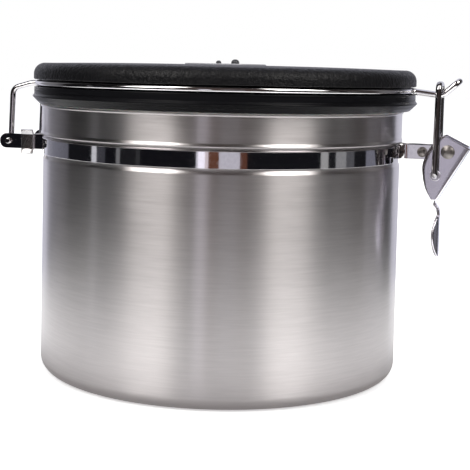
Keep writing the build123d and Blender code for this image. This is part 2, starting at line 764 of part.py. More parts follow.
# The eyelets that line the bail's holes in the lever
with BuildPart() as bail_eyelets:
    for side in (-1, 1):
        with BuildSketch(Plane(origin=(bail_hole[0], side * lever_inner, bail_hole[1]),
                               x_dir=(1, 0, 0), z_dir=(0, side, 0))):
            Circle(wire_radius + running_gap + eyelet_wall)
            Circle(wire_radius + running_gap, mode=Mode.SUBTRACT)
        extrude(amount=lever_sheet + eyelet_rim_height)
        with BuildSketch(Plane(origin=(bail_hole[0], side * lever_half, bail_hole[1]),
                               x_dir=(1, 0, 0), z_dir=(0, side, 0))):
            Circle(wire_radius + running_gap + eyelet_wall + eyelet_rim)
            Circle(wire_radius + running_gap, mode=Mode.SUBTRACT)
        extrude(amount=eyelet_rim_height)
bail_eyelets.part.label = "bail_eyelets"
export_step(bail_eyelets.part, "parts/bail_eyelets.step")

# The bail, as half a path from its foot to the middle of its head
with BuildLine() as bail_path:
    FilletPolyline(
        (bail_hole[0], bail_foot_length - lever_half, bail_hole[1]),
        (bail_hole[0], -bail_foot_y, bail_hole[1]),
        (bail_head[0], -bail_head_half_gap, bail_head[1]),
        (bail_head[0], 0, bail_head[1]),
        radius=[bail_foot_bend, bail_head_bend],
    )
latch_bail = wire_body(bail_path.line, wire_radius)
latch_bail.label = "latch_bail"
export_step(latch_bail, "parts/latch_bail.step")
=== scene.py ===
"""Looks of a latched coffee canister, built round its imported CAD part."""

import math

import bmesh
import bpy
from bpy.props import FloatProperty, FloatVectorProperty, IntProperty, PointerProperty
from mathutils import Matrix, Vector


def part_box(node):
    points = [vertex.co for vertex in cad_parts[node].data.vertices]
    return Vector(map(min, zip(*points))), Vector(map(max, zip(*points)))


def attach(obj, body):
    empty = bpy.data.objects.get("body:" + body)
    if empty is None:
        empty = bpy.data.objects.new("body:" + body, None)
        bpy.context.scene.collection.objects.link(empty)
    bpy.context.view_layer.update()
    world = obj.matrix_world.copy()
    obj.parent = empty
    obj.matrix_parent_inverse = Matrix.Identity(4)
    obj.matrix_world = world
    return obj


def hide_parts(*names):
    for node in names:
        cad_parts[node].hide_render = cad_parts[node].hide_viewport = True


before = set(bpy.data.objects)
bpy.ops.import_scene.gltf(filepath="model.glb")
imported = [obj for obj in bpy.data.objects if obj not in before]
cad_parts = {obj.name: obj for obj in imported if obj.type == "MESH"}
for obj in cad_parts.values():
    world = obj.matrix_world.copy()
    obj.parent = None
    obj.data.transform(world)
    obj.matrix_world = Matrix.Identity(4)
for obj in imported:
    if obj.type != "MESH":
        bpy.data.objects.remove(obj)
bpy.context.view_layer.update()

# The photograph's camera, in metres and radians, its sensor, in millimetres, and its picture,
# in pixels.
CAMERA_TURN = math.radians(16.0)
CAMERA_PITCH = 0.068
CAMERA_ROLL = 0.022
CAMERA_DISTANCE = 0.417355
CAMERA_HEIGHT = 0.105924
SENSOR_WIDTH = 36.0
PICTURE_WIDTH = 470.0
FOCAL_LENGTH = 1180.0
PICTURE_CENTRE = (221.544, 146.887)

# How bright the softboxes are, and where the table and the floor round it end.
BOX_LEVEL = 6.0
TABLE_RADIUS = 0.20
FLOOR_RADIUS = 4.0

bl_info = {
    "name": "Coffee Canister",
    "version": (1, 0, 0),
    "blender": (4, 5, 0),
    "location": "View3D > Sidebar > Canister",
    "description": "Builds a steel coffee canister with a hinged lid, a lever latch and date dials",
    "category": "Object",
}


def length(name, description, default):
    """A length in metres that the sidebar shows in millimetres or the scene's own unit."""
    return FloatProperty(name=name, description=description, default=default, unit="LENGTH",
                         subtype="DISTANCE", precision=5)


def colour(name, description, default):
    """A colour a user may change."""
    return FloatVectorProperty(name=name, description=description, default=default, size=4,
                               subtype="COLOR", min=0.0, max=1.0)


class PotSizes(bpy.types.PropertyGroup):
    """Sizes of the steel pot."""

    radius: length("Radius", "Outside radius of the wall", 0.0625)
    height: length("Height", "Height of the rolled rim's crown", 0.092)
    wall: length("Wall", "Thickness of the sheet", 0.0008)
    base_corner: length("Base corner", "Radius of the corner round the base", 0.0043)
    neck_step: length("Neck step", "How much wider the neck is than the wall", 0.0005)
    rim_roll: length("Rim roll", "Radius of the rolled rim", 0.0006)
    groove_depth: length("Groove depth", "Depth of the groove that holds the band", 0.00045)
    groove_low: length("Groove's low edge", "Height of the groove's low edge", 0.0747)
    groove_high: length("Groove's high edge", "Height of the groove's high edge", 0.0806)
    shoulder: length("Shoulder", "Height of the slope into the groove", 0.0017)
    bead_height: length("Bead height", "Height of the bead over the band", 0.0022)
    bead_proud: length("Bead proud", "How far the bead stands out from the neck", 0.00035)


class BandSizes(bpy.types.PropertyGroup):
    """Sizes of the clamp band and its hinge keeper."""

    middle: length("Middle radius", "Radius of the middle of the strip", 0.0625)
    thick: length("Thickness", "Thickness of the strip", 0.0007)
    height: length("Height", "Height of the strip", 0.0053)
    level: length("Level", "Height of the strip's middle line", 0.07765)
    arm_end: length("Arm end", "Distance from the axis to the ends of the hinge arms", 0.07895)
    arm_offset: length("Arm offset", "Distance of each hinge arm from the centre plane", 0.01445)
    arm_bend: length("Arm bend", "Radius of the bend into a hinge arm", 0.0018)
    tab_end: length("Tab end", "Distance from the axis to the ends of the latch tabs", 0.0819)
    tab_offset: length("Tab offset", "Distance of each latch tab from the centre plane", 0.00305)
    tab_bend: length("Tab bend", "Radius of the bend into a latch tab", 0.0044)
    tab_height: length("Tab height", "Height of a latch tab", 0.0049)
    tab_level: length("Tab level", "Height of a latch tab's middle line", 0.0788)
    tab_lead: length("Tab lead", "Length of strip over which it rises to the tab", 0.004)


class LidSizes(bpy.types.PropertyGroup):
    """Sizes of the lid's two halves and of the dials in it."""

    centre: length("Centre", "Distance of the lid's axis from the pot's, towards the latch", 0.0008)
    base_bottom: length("Base bottom", "Height of the lid base's underside", 0.09217)
    skirt: length("Skirt", "How far the skirt round the gasket hangs below the underside", 0.0001)
    base_top: length("Base top", "Height of the ledge that carries the wire", 0.09782)
    cap_bottom: length("Cap bottom", "Height of the cap's lower edge", 0.10032)
    top: length("Top", "Height of the lid's top face", 0.10652)
    crown: length("Crown", "How far the top falls from its middle to its edge", 0.00065)
    cap_radius: length("Cap radius", "Outside radius of the cap", 0.0667)
    cap_edge: length("Cap edge", "Radius of the cap's rounded edge", 0.0038)
    ring_radius: length("Ring radius", "Outside radius of the base's upright wall", 0.0665)
    lip_radius: length("Lip radius", "Outside radius of the flared lip", 0.0672)
    lip_level: length("Lip level", "Height of the lip's widest line", 0.09457)
    neck_level: length("Neck level", "Height where the lip meets the upright wall", 0.09547)
    foot_radius: length("Foot radius", "Radius of the base's underside", 0.0647)
    gasket_inner: length("Gasket's inner radius", "Inner radius of the gasket's groove", 0.0615)
    gasket_outer: length("Gasket's outer radius", "Outer radius of the gasket's groove", 0.0641)
    gasket_deep: length("Gasket's groove", "Depth of the gasket's groove", 0.00178)
    wire_groove: length("Wire groove", "Radius of the floor of the groove behind the wire", 0.0643)
    plate: length("Plate", "Thickness of the base's plate", 0.0024)
    cap_ceiling: length("Cap ceiling", "Height of the cap's inside", 0.10412)
    dial_top: length("Dial top", "Height of the dials' top face", 0.10697)
    dial_floor: length("Dial floor", "Height of the floor of the dials' well", 0.10492)
    well_bottom: length("Well bottom", "Height of the underside of the dials' well", 0.10272)
    dial_radius: length("Dial radius", "Radius of the day dial", 0.0143)
    month_radius: length("Month radius", "Radius of the month dial", 0.0082)
    hub_radius: length("Hub radius", "Radius of the pin that the dials turn on", 0.003)
    hub_head: length("Hub head", "Radius of the pin's head", 0.0043)
    day_pip_reach: length("Day pip reach", "Distance of the day pip from the dial's middle", 0.0113)
    day_pip_radius: length("Day pip radius", "Radius of the day pip", 0.0014)
    day_pip_height: length("Day pip height", "Height of the day pip", 0.0015)
    month_pip_reach: length("Month pip reach", "Distance of the month pip from the middle", 0.0061)
    month_pip_radius: length("Month pip radius", "Radius of the month pip", 0.00095)
    month_pip_height: length("Month pip height", "Height of the month pip", 0.0011)


class WireSizes(bpy.types.PropertyGroup):
    """Sizes of the lid wire, with its hinge legs and hook."""

    radius: length("Radius", "Radius of the wire", 0.001)
    level: length("Level", "Height of the ring round the lid", 0.09902)
    ring: length("Ring", "Radius of the ring round the lid", 0.0654)
    hinge_x: length("Hinge", "Distance of the hinge from the axis", 0.0755)
    hinge_z: length("Hinge level", "Height of the hinge", 0.07765)
    foot_end: length("Foot end", "Distance of each foot's end from the centre plane", 0.016)
    leg_offset: length("Leg offset", "Distance of each hinge leg from the centre plane", 0.0129)
    leg_rise: length("Leg rise", "Height of a leg over its foot", 0.01895)
    leg_lean: length("Leg lean", "How far a leg leans towards the lid", 0.0007)
    arm_dip: length("Arm dip", "How far the arms' shoulders lie below the ring", 0.00045)
    shoulder_x: length("Shoulder", "Distance of the arm's shoulder from the axis", 0.0678)
    hook_offset: length("Hook offset", "Distance of the hook's sides from the centre plane", 0.0022)
    valley_x: length("Valley", "Distance of the hook's valley from the axis", 0.0767)
    valley_z: length("Valley level", "Height of the hook's valley", 0.09782)
    tip_x: length("Tip", "Distance of the hook's tip from the axis", 0.0822)
    tip_z: length("Tip level", "Height of the hook's tip", 0.10272)


class LatchSizes(bpy.types.PropertyGroup):
    """Sizes of the latch's lever, bail, eyelets and rivets."""

    pivot_x: length("Pivot", "Distance of the lever's pivot from the axis", 0.0795)
    pivot_z: length("Pivot level", "Height of the lever's pivot", 0.0792)
    drop: length("Drop", "Length of the lever's cheeks below the pivot", 0.0171)
    half: length("Half width", "Half the lever's width over its cheeks", 0.0045)
    sheet: length("Sheet", "Thickness of the lever's sheet", 0.0009)
    fold: length("Fold", "Outside radius of the lever's folds", 0.0008)
    neck: length("Neck", "Width of the lever's curled neck", 0.0034)
    thumb_width: length("Thumb width", "Width of the thumb tab", 0.012)
    thumb_length: length("Thumb length", "Height of the thumb tab", 0.0147)
    thumb_cup: length("Thumb cup", "Depth of the thumb tab's curve", 0.0015)
    hole_x: length("Bail hole", "Distance of the bail's holes from the axis", 0.0756)
    hole_z: length("Bail hole level", "Height of the bail's holes", 0.0712)
    bail_foot: length("Bail foot", "Distance of the bail's feet from the centre plane", 0.0072)
    bail_head: length("Bail head", "Distance of the legs from the centre plane at the head", 0.0048)
    head_x: length("Head", "Distance of the bail's head from the axis", 0.0759)
    head_z: length("Head level", "Height of the bail's head", 0.10157)
    rivet_head: length("Rivet head", "Radius of the lever rivet's heads", 0.0023)
    rivet_dome: length("Rivet dome", "Height of the lever rivet's heads", 0.0008)
    band_rivet_x: length("Band rivet", "Distance of the band rivet from the axis", 0.071)
    band_rivet_head: length("Band rivet head", "Radius of the band rivet's heads", 0.00175)
    band_rivet_dome: length("Band rivet dome", "Height of the band rivet's heads", 0.0008)


class Finishes(bpy.types.PropertyGroup):
    """Colours and the fineness of round meshes."""

    steel: colour("Brushed steel", "Colour of the pot", (0.60, 0.575, 0.578, 1))
    polish: colour("Polished steel", "Colour of the band and wires", (0.80, 0.79, 0.80, 1))
    lever: colour("Lever steel", "Colour of the latch lever", (0.86, 0.84, 0.91, 1))
    rivet: colour("Rivet steel", "Colour of the rivets", (0.28, 0.26, 0.25, 1))
    plastic: colour("Lid plastic", "Colour of the lid", (0.0035, 0.0035, 0.0042, 1))
    dial: colour("Dial plastic", "Colour of the dials", (0.34, 0.34, 0.36, 1))
    pip: colour("Pip plastic", "Colour of the pips", (0.045, 0.045, 0.05, 1))
    numeral: colour("Numerals", "Colour of the numbers on the dials", (0.86, 0.86, 0.84, 1))
    silicone: colour("Silicone", "Colour of the gasket and seals", (0.58, 0.58, 0.56, 1))
    felt: colour("Felt", "Colour of the valve's filter", (0.80, 0.77, 0.70, 1))
    facets: IntProperty(name="Facets", description="Sides of a round mesh", default=288, min=48,
                        max=512)


# Meshes


def bent(corners, radii, fineness=8.0):
    """Points along straight runs whose inner corners are rounded to the radii."""
    corners = [Vector(corner) for corner in corners]
    points = [corners[0]]
    for index, radius in enumerate(radii, start=1):
        corner = corners[index]
        back = (corners[index - 1] - corner).normalized()
        on = (corners[index + 1] - corner).normalized()
        inside = back.angle(on)
        if radius <= 0 or inside > math.pi - 0.001:
            points.append(corner)
            continue
        centre = corner + (back + on).normalized() * radius / math.sin(inside / 2)
        first = corner + back * radius / math.tan(inside / 2) - centre
        last = corner + on * radius / math.tan(inside / 2) - centre
        turn = first.angle(last)
        steps = max(3, math.ceil(math.degrees(turn) / fineness))
        for step in range(steps + 1):
            share = step / steps
            points.append(centre + (first * math.sin((1 - share) * turn)
                                    + last * math.sin(share * turn)) / math.sin(turn))
    points.append(corners[-1])
    return points


def eased(share):
    """A share from 0 to 1 that starts and ends gently."""
    return share * share * (3 - 2 * share)


def eased_run(start, end, steps=12):
    """Outline points whose radius eases from one to another while the height runs evenly."""
    return [(start[0] + (end[0] - start[0]) * eased(step / steps),
             start[1] + (end[1] - start[1]) * step / steps) for step in range(steps + 1)]


def flowing(knots, steps=8):
    """Points on a smooth curve through the knots."""
    knots = [Vector(knot) for knot in knots]
    padded = [2 * knots[0] - knots[1], *knots, 2 * knots[-1] - knots[-2]]
    points = []
    for index in range(1, len(padded) - 2):
        before, start, end, after = padded[index - 1:index + 3]
        for step in range(steps):
            t = step / steps
            points.append(0.5 * (2 * start + (end - before) * t
                                 + (2 * before - 5 * start + 4 * end - after) * t ** 2
                                 + (3 * start - before - 3 * end + after) * t ** 3))
    points.append(knots[-1])
    return points


def object_from(bm, name, finish):
    """Turn a bmesh into a finished object in the scene."""
    mesh = bpy.data.meshes.new(name)
    bm.to_mesh(mesh)
    bm.free()
    mesh.materials.append(finish)
    made = bpy.data.objects.new(name, mesh)
    bpy.context.scene.collection.objects.link(made)
    return made


def piece_from(bm, name, finish, body, node=None, crease=32.0):
    """Turn a bmesh into a shaded piece that rides on a body and stands for its CAD node."""
    bmesh.ops.remove_doubles(bm, verts=bm.verts, dist=1e-7)
    bmesh.ops.recalc_face_normals(bm, faces=bm.faces)
    for face in bm.faces:
        face.smooth = True
    for edge in bm.edges:
        edge.smooth = edge.calc_face_angle(0.0) < math.radians(crease)
    piece = object_from(bm, name, finish_named(finish))
    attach(piece, body)
    if node:
        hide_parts(node)
    return piece


def circle(radius, count, height=0.0):
    """Points round the upright axis."""
    turns = [math.tau * step / count for step in range(count)]
    return [Vector((radius * math.cos(turn), radius * math.sin(turn), height)) for turn in turns]


def turn_outline(bm, outline, facets, stand=Matrix()):
    """Turn an outline of (radius, height) points round the upright axis and stand it in place.

    Where neither end of the outline is on the axis, it is closed.
    """
    rings = []
    for radius, height in outline:
        points = [Vector((0, 0, height))] if radius < 1e-7 else circle(radius, facets, height)
        rings.append([bm.verts.new(stand @ point) for point in points])
    closed = len(rings[0]) > 1 and len(rings[-1]) > 1
    for low, high in zip(rings, rings[1:] + (rings[:1] if closed else [])):
        for step in range(facets):
            after = (step + 1) % facets
            if len(low) > 1 and len(high) > 1:
                bm.faces.new((low[step], low[after], high[after], high[step]))
            elif len(high) > 1:
                bm.faces.new((low[0], high[step], high[after]))
            elif len(low) > 1:
                bm.faces.new((low[step], low[after], high[0]))
    return bm


def outline_of(corners, radii, fineness=8.0):
    """A turned piece's outline, from (radius, height) corners with rounded inner ones."""
    points = bent([(r, 0, z) for r, z in corners], radii, fineness)
    return [(point.x, point.z) for point in points]


def skin(bm, rows, closed=True, caps=True):
    """Join rows of points by faces into a tube or a sheet."""
    made = [[bm.verts.new(point) for point in row] for row in rows]
    count = len(made[0])
    for low, high in zip(made, made[1:]):
        for step in range(count if closed else count - 1):
            after = (step + 1) % count
            bm.faces.new((low[step], low[after], high[after], high[step]))
    if closed and caps:
        bm.faces.new(list(reversed(made[0])))
        bm.faces.new(made[-1])
    return made


def wire_rows(path, radius, sides=24):
    """Rings round a path, with the ends rounded off."""
    tangents = []
    for index in range(len(path)):
        before = path[max(index - 1, 0)]
        after = path[min(index + 1, len(path) - 1)]
        tangents.append((after - before).normalized())
    side = tangents[0].orthogonal().normalized()
    rows = []
    for index, (point, tangent) in enumerate(zip(path, tangents)):
        side = (side - tangent * side.dot(tangent)).normalized()
        across = tangent.cross(side)
        ring = [point + (side * spot.x + across * spot.y) * radius for spot in circle(1.0, sides)]
        if 0 < index < len(path) - 1:
            rows.append(ring)
            continue
        inwards = tangent if index == 0 else -tangent
        ends = []
        for share in (0.0, 0.5, 0.85):
            sink = 0.22 * (1 - math.sin(share * math.pi / 2))
            shrink = 0.22 * (1 - math.cos(share * math.pi / 2))
            ends.append([point + inwards * radius * sink + (spot - point) * (1 - shrink)
                         for spot in ring])
        ends.append([point + (spot - point) * 0.72 for spot in ring])
        rows += reversed(ends) if index == 0 else ends
    return rows


def aside(point, y):
    """The point at another distance from the centre plane."""
    return Vector((point.x, y, point.z))


def mirrored(half):
    """A path whose half ends on the centre plane, made whole."""
    return half + [aside(point, -point.y) for point in reversed(half[:-1])]


def wire_piece(name, path, radius, finish, body, node):
    """A round wire along a path, with no run between two rings over 4 mm."""
    spread = [path[0]]
    for point in path[1:]:
        start = spread[-1]
        gap = (point - start).length
        if gap > 1e-6:
            steps = max(1, math.ceil(gap / 0.004))
            spread.extend(start.lerp(point, (step + 1) / steps) for step in range(steps))
    bm = bmesh.new()
    skin(bm, wire_rows(spread, radius))
    return piece_from(bm, name, finish, body, node, 50)


def soften(piece, width, segments, thickness):
    """Give a sheet its thickness, half to each side, and round its edges."""
    solid = piece.modifiers.new("thickness", "SOLIDIFY")
    solid.thickness = thickness
    solid.offset = 0.0
    solid.use_even_offset = True
    edge = piece.modifiers.new("edge", "BEVEL")
    edge.width = width
    edge.segments = segments
    edge.limit_method = "ANGLE"
    edge.angle_limit = math.radians(50)
    edge.harden_normals = False


# Finishes


def set_sockets(node, **sockets):
    """Set a node's inputs by name, with an underscore for each space."""
    for key, value in sockets.items():
        node.inputs[key.replace("_", " ")].default_value = value


def join(tree, start, out, end, into):
    """Link one node's output to another's input."""
    tree.links.new(start.outputs[out], end.inputs[into])


def add_node(tree, kind, *sources, into=range(3), **values):
    """A shader node fed by (node, output) pairs, with settings in small letters and values."""
    node = tree.nodes.new("ShaderNode" + kind)
    for key, value in values.items():
        if key.islower():
            setattr(node, key, value)
    set_sockets(node, **{key: value for key, value in values.items() if not key.islower()})
    for place, (start, out) in zip(into, sources):
        join(tree, start, out, node, place)
    return node


def add_ramp(tree, source, interpolation, stops):
    """A colour ramp with (position, grey) or (position, red, green, blue) stops."""
    node = add_node(tree, "ValToRGB", source)
    ramp = node.color_ramp
    ramp.interpolation = interpolation
    ramp.elements.remove(ramp.elements[-1])
    for index, (position, *tone) in enumerate(stops):
        element = ramp.elements[0] if index == 0 else ramp.elements.new(position)
        element.position = position
        element.color = (*(tone * 3 if len(tone) == 1 else tone), 1.0)
    return node


def bearing_from(tree, place):
    """The bearing round the canister as a share of a full turn, and the turned direction."""
    face = add_node(tree, "VectorRotate", place, rotation_type="Z_AXIS", Angle=math.radians(74.0))
    split = add_node(tree, "SeparateXYZ", (face, "Vector"))
    bearing = add_node(tree, "Math", (split, "Y"), (split, "X"), operation="ARCTAN2")
    turn = add_node(tree, "MapRange", (bearing, 0), From_Min=-math.pi, From_Max=math.pi)
    return (turn, "Result"), split


def bearings(*stops):
    """Ramp stops from bearings in degrees round the canister, measured from the front."""
    return [((bearing + 180.0) / 360.0, *tone) for bearing, *tone in stops]


def start_finish(name, tone, metallic, roughness, **sockets):
    """A new finish with its surface shader's plain values set."""
    finish = bpy.data.materials.new(name)
    finish.use_nodes = True
    finish.diffuse_color = tone
    tree = finish.node_tree
    surface = tree.nodes["Principled BSDF"]
    set_sockets(surface, Base_Color=tone, Metallic=metallic, Roughness=roughness, **sockets)
    return finish, tree, surface


def even(rate):
    """The same number of cycles per metre along each axis."""
    return (rate, rate, rate)


def grain(tree, rates, detail=4.0, roughness=0.55):
    """Noise over the piece, at rates of cycles per metre along each axis."""
    place = add_node(tree, "TexCoord")
    scale = add_node(tree, "Mapping", (place, "Object"), Scale=rates)
    return add_node(tree, "TexNoise", (scale, "Vector"), Scale=1.0, Detail=detail,
                    Roughness=roughness)


def shade(tone, share):
    """The colour times a share, opaque."""
    return (tone[0] * share, tone[1] * share, tone[2] * share, 1.0)


def vary_colour(tree, surface, noise, tone, low, high):
    """Let the noise run the base colour between two shares of a tone."""
    shades = add_ramp(tree, (noise, "Fac"), "LINEAR",
                      ((0.28, *shade(tone, low)[:3]), (0.72, *shade(tone, high)[:3])))
    join(tree, shades, "Color", surface, "Base Color")


def vary_roughness(tree, surface, noise, low, high):
    """Let the noise run the roughness between two values."""
    reach = add_node(tree, "MapRange", (noise, "Fac"), From_Min=0.25, From_Max=0.75,
                     To_Min=low, To_Max=high)
    join(tree, reach, "Result", surface, "Roughness")


def raise_bump(tree, surface, noise, strength, distance=0.00001, under=None):
    """Let the noise raise the surface, over another bump if one is given."""
    bump = add_node(tree, "Bump", Strength=strength, Distance=distance)
    join(tree, noise, "Fac", bump, "Height")
    if under:
        join(tree, under, "Normal", bump, "Normal")
    join(tree, bump, "Normal", surface, "Normal")
    return bump


def brushed_steel(name, tone, roughness):
    """Steel with fine brush marks that run round the pot."""
    finish, tree, surface = start_finish(name, tone, 1.0, roughness, Anisotropic=0.92,
                                         Anisotropic_Rotation=0.25)
    marks = grain(tree, (75.0, 75.0, 1500.0), detail=5.0, roughness=0.62)
    vary_colour(tree, surface, marks, tone, 0.93, 1.06)
    vary_roughness(tree, surface, marks, roughness - 0.02, roughness + 0.02)
    raise_bump(tree, surface, marks, 0.012)
    round_axis = add_node(tree, "Tangent", direction_type="RADIAL", axis="Z")
    join(tree, round_axis, "Tangent", surface, "Tangent")
    return finish


def polished_steel(name, tone, roughness):
    """Mirror-like steel with faint wipe marks."""
    finish, tree, surface = start_finish(name, tone, 1.0, roughness)
    wipes = grain(tree, even(900.0), detail=3.0)
    vary_colour(tree, surface, wipes, tone, 0.93, 1.04)
    vary_roughness(tree, surface, wipes, roughness * 0.6, roughness * 1.8)
    raise_bump(tree, surface, wipes, 0.04)
    return finish


def satin_steel(name, tone, roughness):
    """Pressed sheet with a fine tumbled grain."""
    finish, tree, surface = start_finish(name, tone, 1.0, roughness)
    tumbled = grain(tree, even(2600.0), detail=3.0)
    vary_colour(tree, surface, tumbled, tone, 0.94, 1.04)
    vary_roughness(tree, surface, tumbled, roughness - 0.03, roughness + 0.04)
    raise_bump(tree, surface, tumbled, 0.02)
    return finish


def textured_plastic(name, tone, roughness, rates, strength, height=0.00006, gleam=0.5,
                     spread=(0.05, 0.07)):
    """Moulded plastic with the fine grain of a spark-eroded mould."""
    finish, tree, surface = start_finish(name, tone, 0.0, roughness, Specular_IOR_Level=gleam)
    pits = grain(tree, rates, detail=2.5, roughness=0.6)
    vary_colour(tree, surface, pits, tone, 0.80, 1.25)
    vary_roughness(tree, surface, pits, roughness - spread[0], roughness + spread[1])
    waves = grain(tree, even(60.0), detail=2.0)
    slow = raise_bump(tree, surface, waves, 0.03, 0.0003)
    raise_bump(tree, surface, pits, strength, height, slow)
    return finish


def soft_rubber(name, tone):
    """Cast silicone, a little see-through at its edge."""
    finish, tree, surface = start_finish(name, tone, 0.0, 0.5, Subsurface_Weight=0.15,
                                         Subsurface_Scale=0.001)
    bloom = grain(tree, even(500.0))
    vary_colour(tree, surface, bloom, tone, 0.92, 1.05)
    vary_roughness(tree, surface, bloom, 0.44, 0.58)
    raise_bump(tree, surface, bloom, 0.08, 0.00003)
    return finish


def matted_felt(name, tone):
    """Felt with a matted fibre grain."""
    finish, tree, surface = start_finish(name, tone, 0.0, 0.95, Sheen_Weight=0.3)
    fibres = grain(tree, (2600.0, 900.0, 2600.0), detail=6.0, roughness=0.7)
    vary_colour(tree, surface, fibres, tone, 0.78, 1.08)
    raise_bump(tree, surface, fibres, 0.6, 0.0001)
    return finish


def finish_named(name):
    """The scene's finish of that name, made when it is first asked for."""
    known = bpy.data.materials.get(name)
    if known:
        return known
    tones = bpy.context.scene.canister_finishes
    recipes = {
        "brushed_pot": (brushed_steel, tones.steel, 1.0, dict(roughness=0.295)),
        "polished_band": (polished_steel, tones.polish, 1.0, dict(roughness=0.05)),
        "polished_wire": (polished_steel, tones.polish, 1.0, dict(roughness=0.06)),
        # The bail is the polished steel darkened to six tenths, a painted shade.
        "polished_bail": (polished_steel, tones.polish, 0.6, dict(roughness=0.06)),
        "satin_lever": (satin_steel, tones.lever, 1.0, dict(roughness=0.17)),
        "satin_eyelet": (satin_steel, tones.lever, 1.0, dict(roughness=0.30)),
        # The keeper is the polished steel darkened to seven tenths, a painted shade.
        "satin_keeper": (satin_steel, tones.polish, 0.7, dict(roughness=0.22)),
        "satin_screw": (satin_steel, tones.polish, 1.0, dict(roughness=0.25)),
        "satin_rivet": (satin_steel, tones.rivet, 1.0, dict(roughness=0.38)),
        "lid_plastic": (textured_plastic, tones.plastic, 1.0, dict(
            roughness=0.40, rates=even(1000.0), strength=1.0, height=0.00037, gleam=0.24,
            spread=(0.12, 0.18))),
        "base_plastic": (textured_plastic, tones.plastic, 1.0, dict(
            roughness=0.26, rates=(25.0, 25.0, 1300.0), strength=0.05, height=0.00003, gleam=0.09,
            spread=(0.12, 0.16))),
        "dial_plastic": (textured_plastic, tones.dial, 1.0, dict(
            roughness=0.42, rates=even(2500.0), strength=0.12)),
        "pip_plastic": (textured_plastic, tones.pip, 1.0, dict(
            roughness=0.35, rates=even(2500.0), strength=0.10)),
        "valve_plastic": (textured_plastic, tones.plastic, 1.4, dict(
            roughness=0.40, rates=even(1.0 / 0.0006), strength=0.10)),
        "numeral_paint": (textured_plastic, tones.numeral, 1.0, dict(
            roughness=0.55, rates=even(1.0 / 0.0003), strength=0.10)),
        "soft_silicone": (soft_rubber, tones.silicone, 1.0, {}),
        "pressed_felt": (matted_felt, tones.felt, 1.0, {}),
    }
    maker, tone, share, settings = recipes[name]
    return maker(name, shade(tone, share), **settings)


def dress(node, finish):
    """Give a CAD node that stays in view its finish."""
    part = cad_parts[node]
    for slot in part.material_slots:
        slot.material = finish_named(finish)
    if not part.material_slots:
        part.data.materials.append(finish_named(finish))


# Operators


class CANISTER_OT_pot(bpy.types.Operator):
    """Turn the pot, from its base to its rolled rim."""

    bl_idname = "canister.pot"
    bl_label = "Pot"

    def execute(self, context):
        size = context.scene.canister_pot
        wall, sheet, corner = size.radius, size.wall, size.base_corner
        groove, neck = wall - size.groove_depth, wall + size.neck_step
        bead, bead_middle = neck + size.bead_proud, size.groove_high + size.bead_height / 2
        bead_top, shoulder = size.groove_high + size.bead_height, size.groove_low - size.shoulder
        outline = [(0, 0)]
        outline += outline_of([(wall - 2 * corner, 0), (wall, 0), (wall, size.groove_low / 2)],
                              [corner], 4.0)
        outline += eased_run((wall, shoulder), (groove, size.groove_low))
        outline += eased_run((groove, size.groove_high), (bead, bead_middle))
        outline += eased_run((bead, bead_middle), (neck, bead_top))[1:]
        roll = size.rim_roll
        crown, level = neck - sheet + roll, size.height - roll
        start = -math.acos((neck - crown) / roll)
        for step in range(33):
            angle = start + (math.pi - start) * step / 32
            outline.append((crown + roll * math.cos(angle), level + roll * math.sin(angle)))
        outline += [(neck - sheet, bead_top), (bead - sheet, bead_middle),
                    (groove - sheet, size.groove_high), (groove - sheet, size.groove_low),
                    (wall - sheet, shoulder)]
        outline += outline_of([(wall - sheet, size.groove_low / 2), (wall - sheet, sheet),
                               (wall - 2 * corner, sheet)], [corner - sheet], 6.0)
        outline.append((0, sheet))
        bm = turn_outline(bmesh.new(), outline, context.scene.canister_finishes.facets)
        piece_from(bm, "pot_wall", "brushed_pot", "canister", "pot", 40)
        return {"FINISHED"}


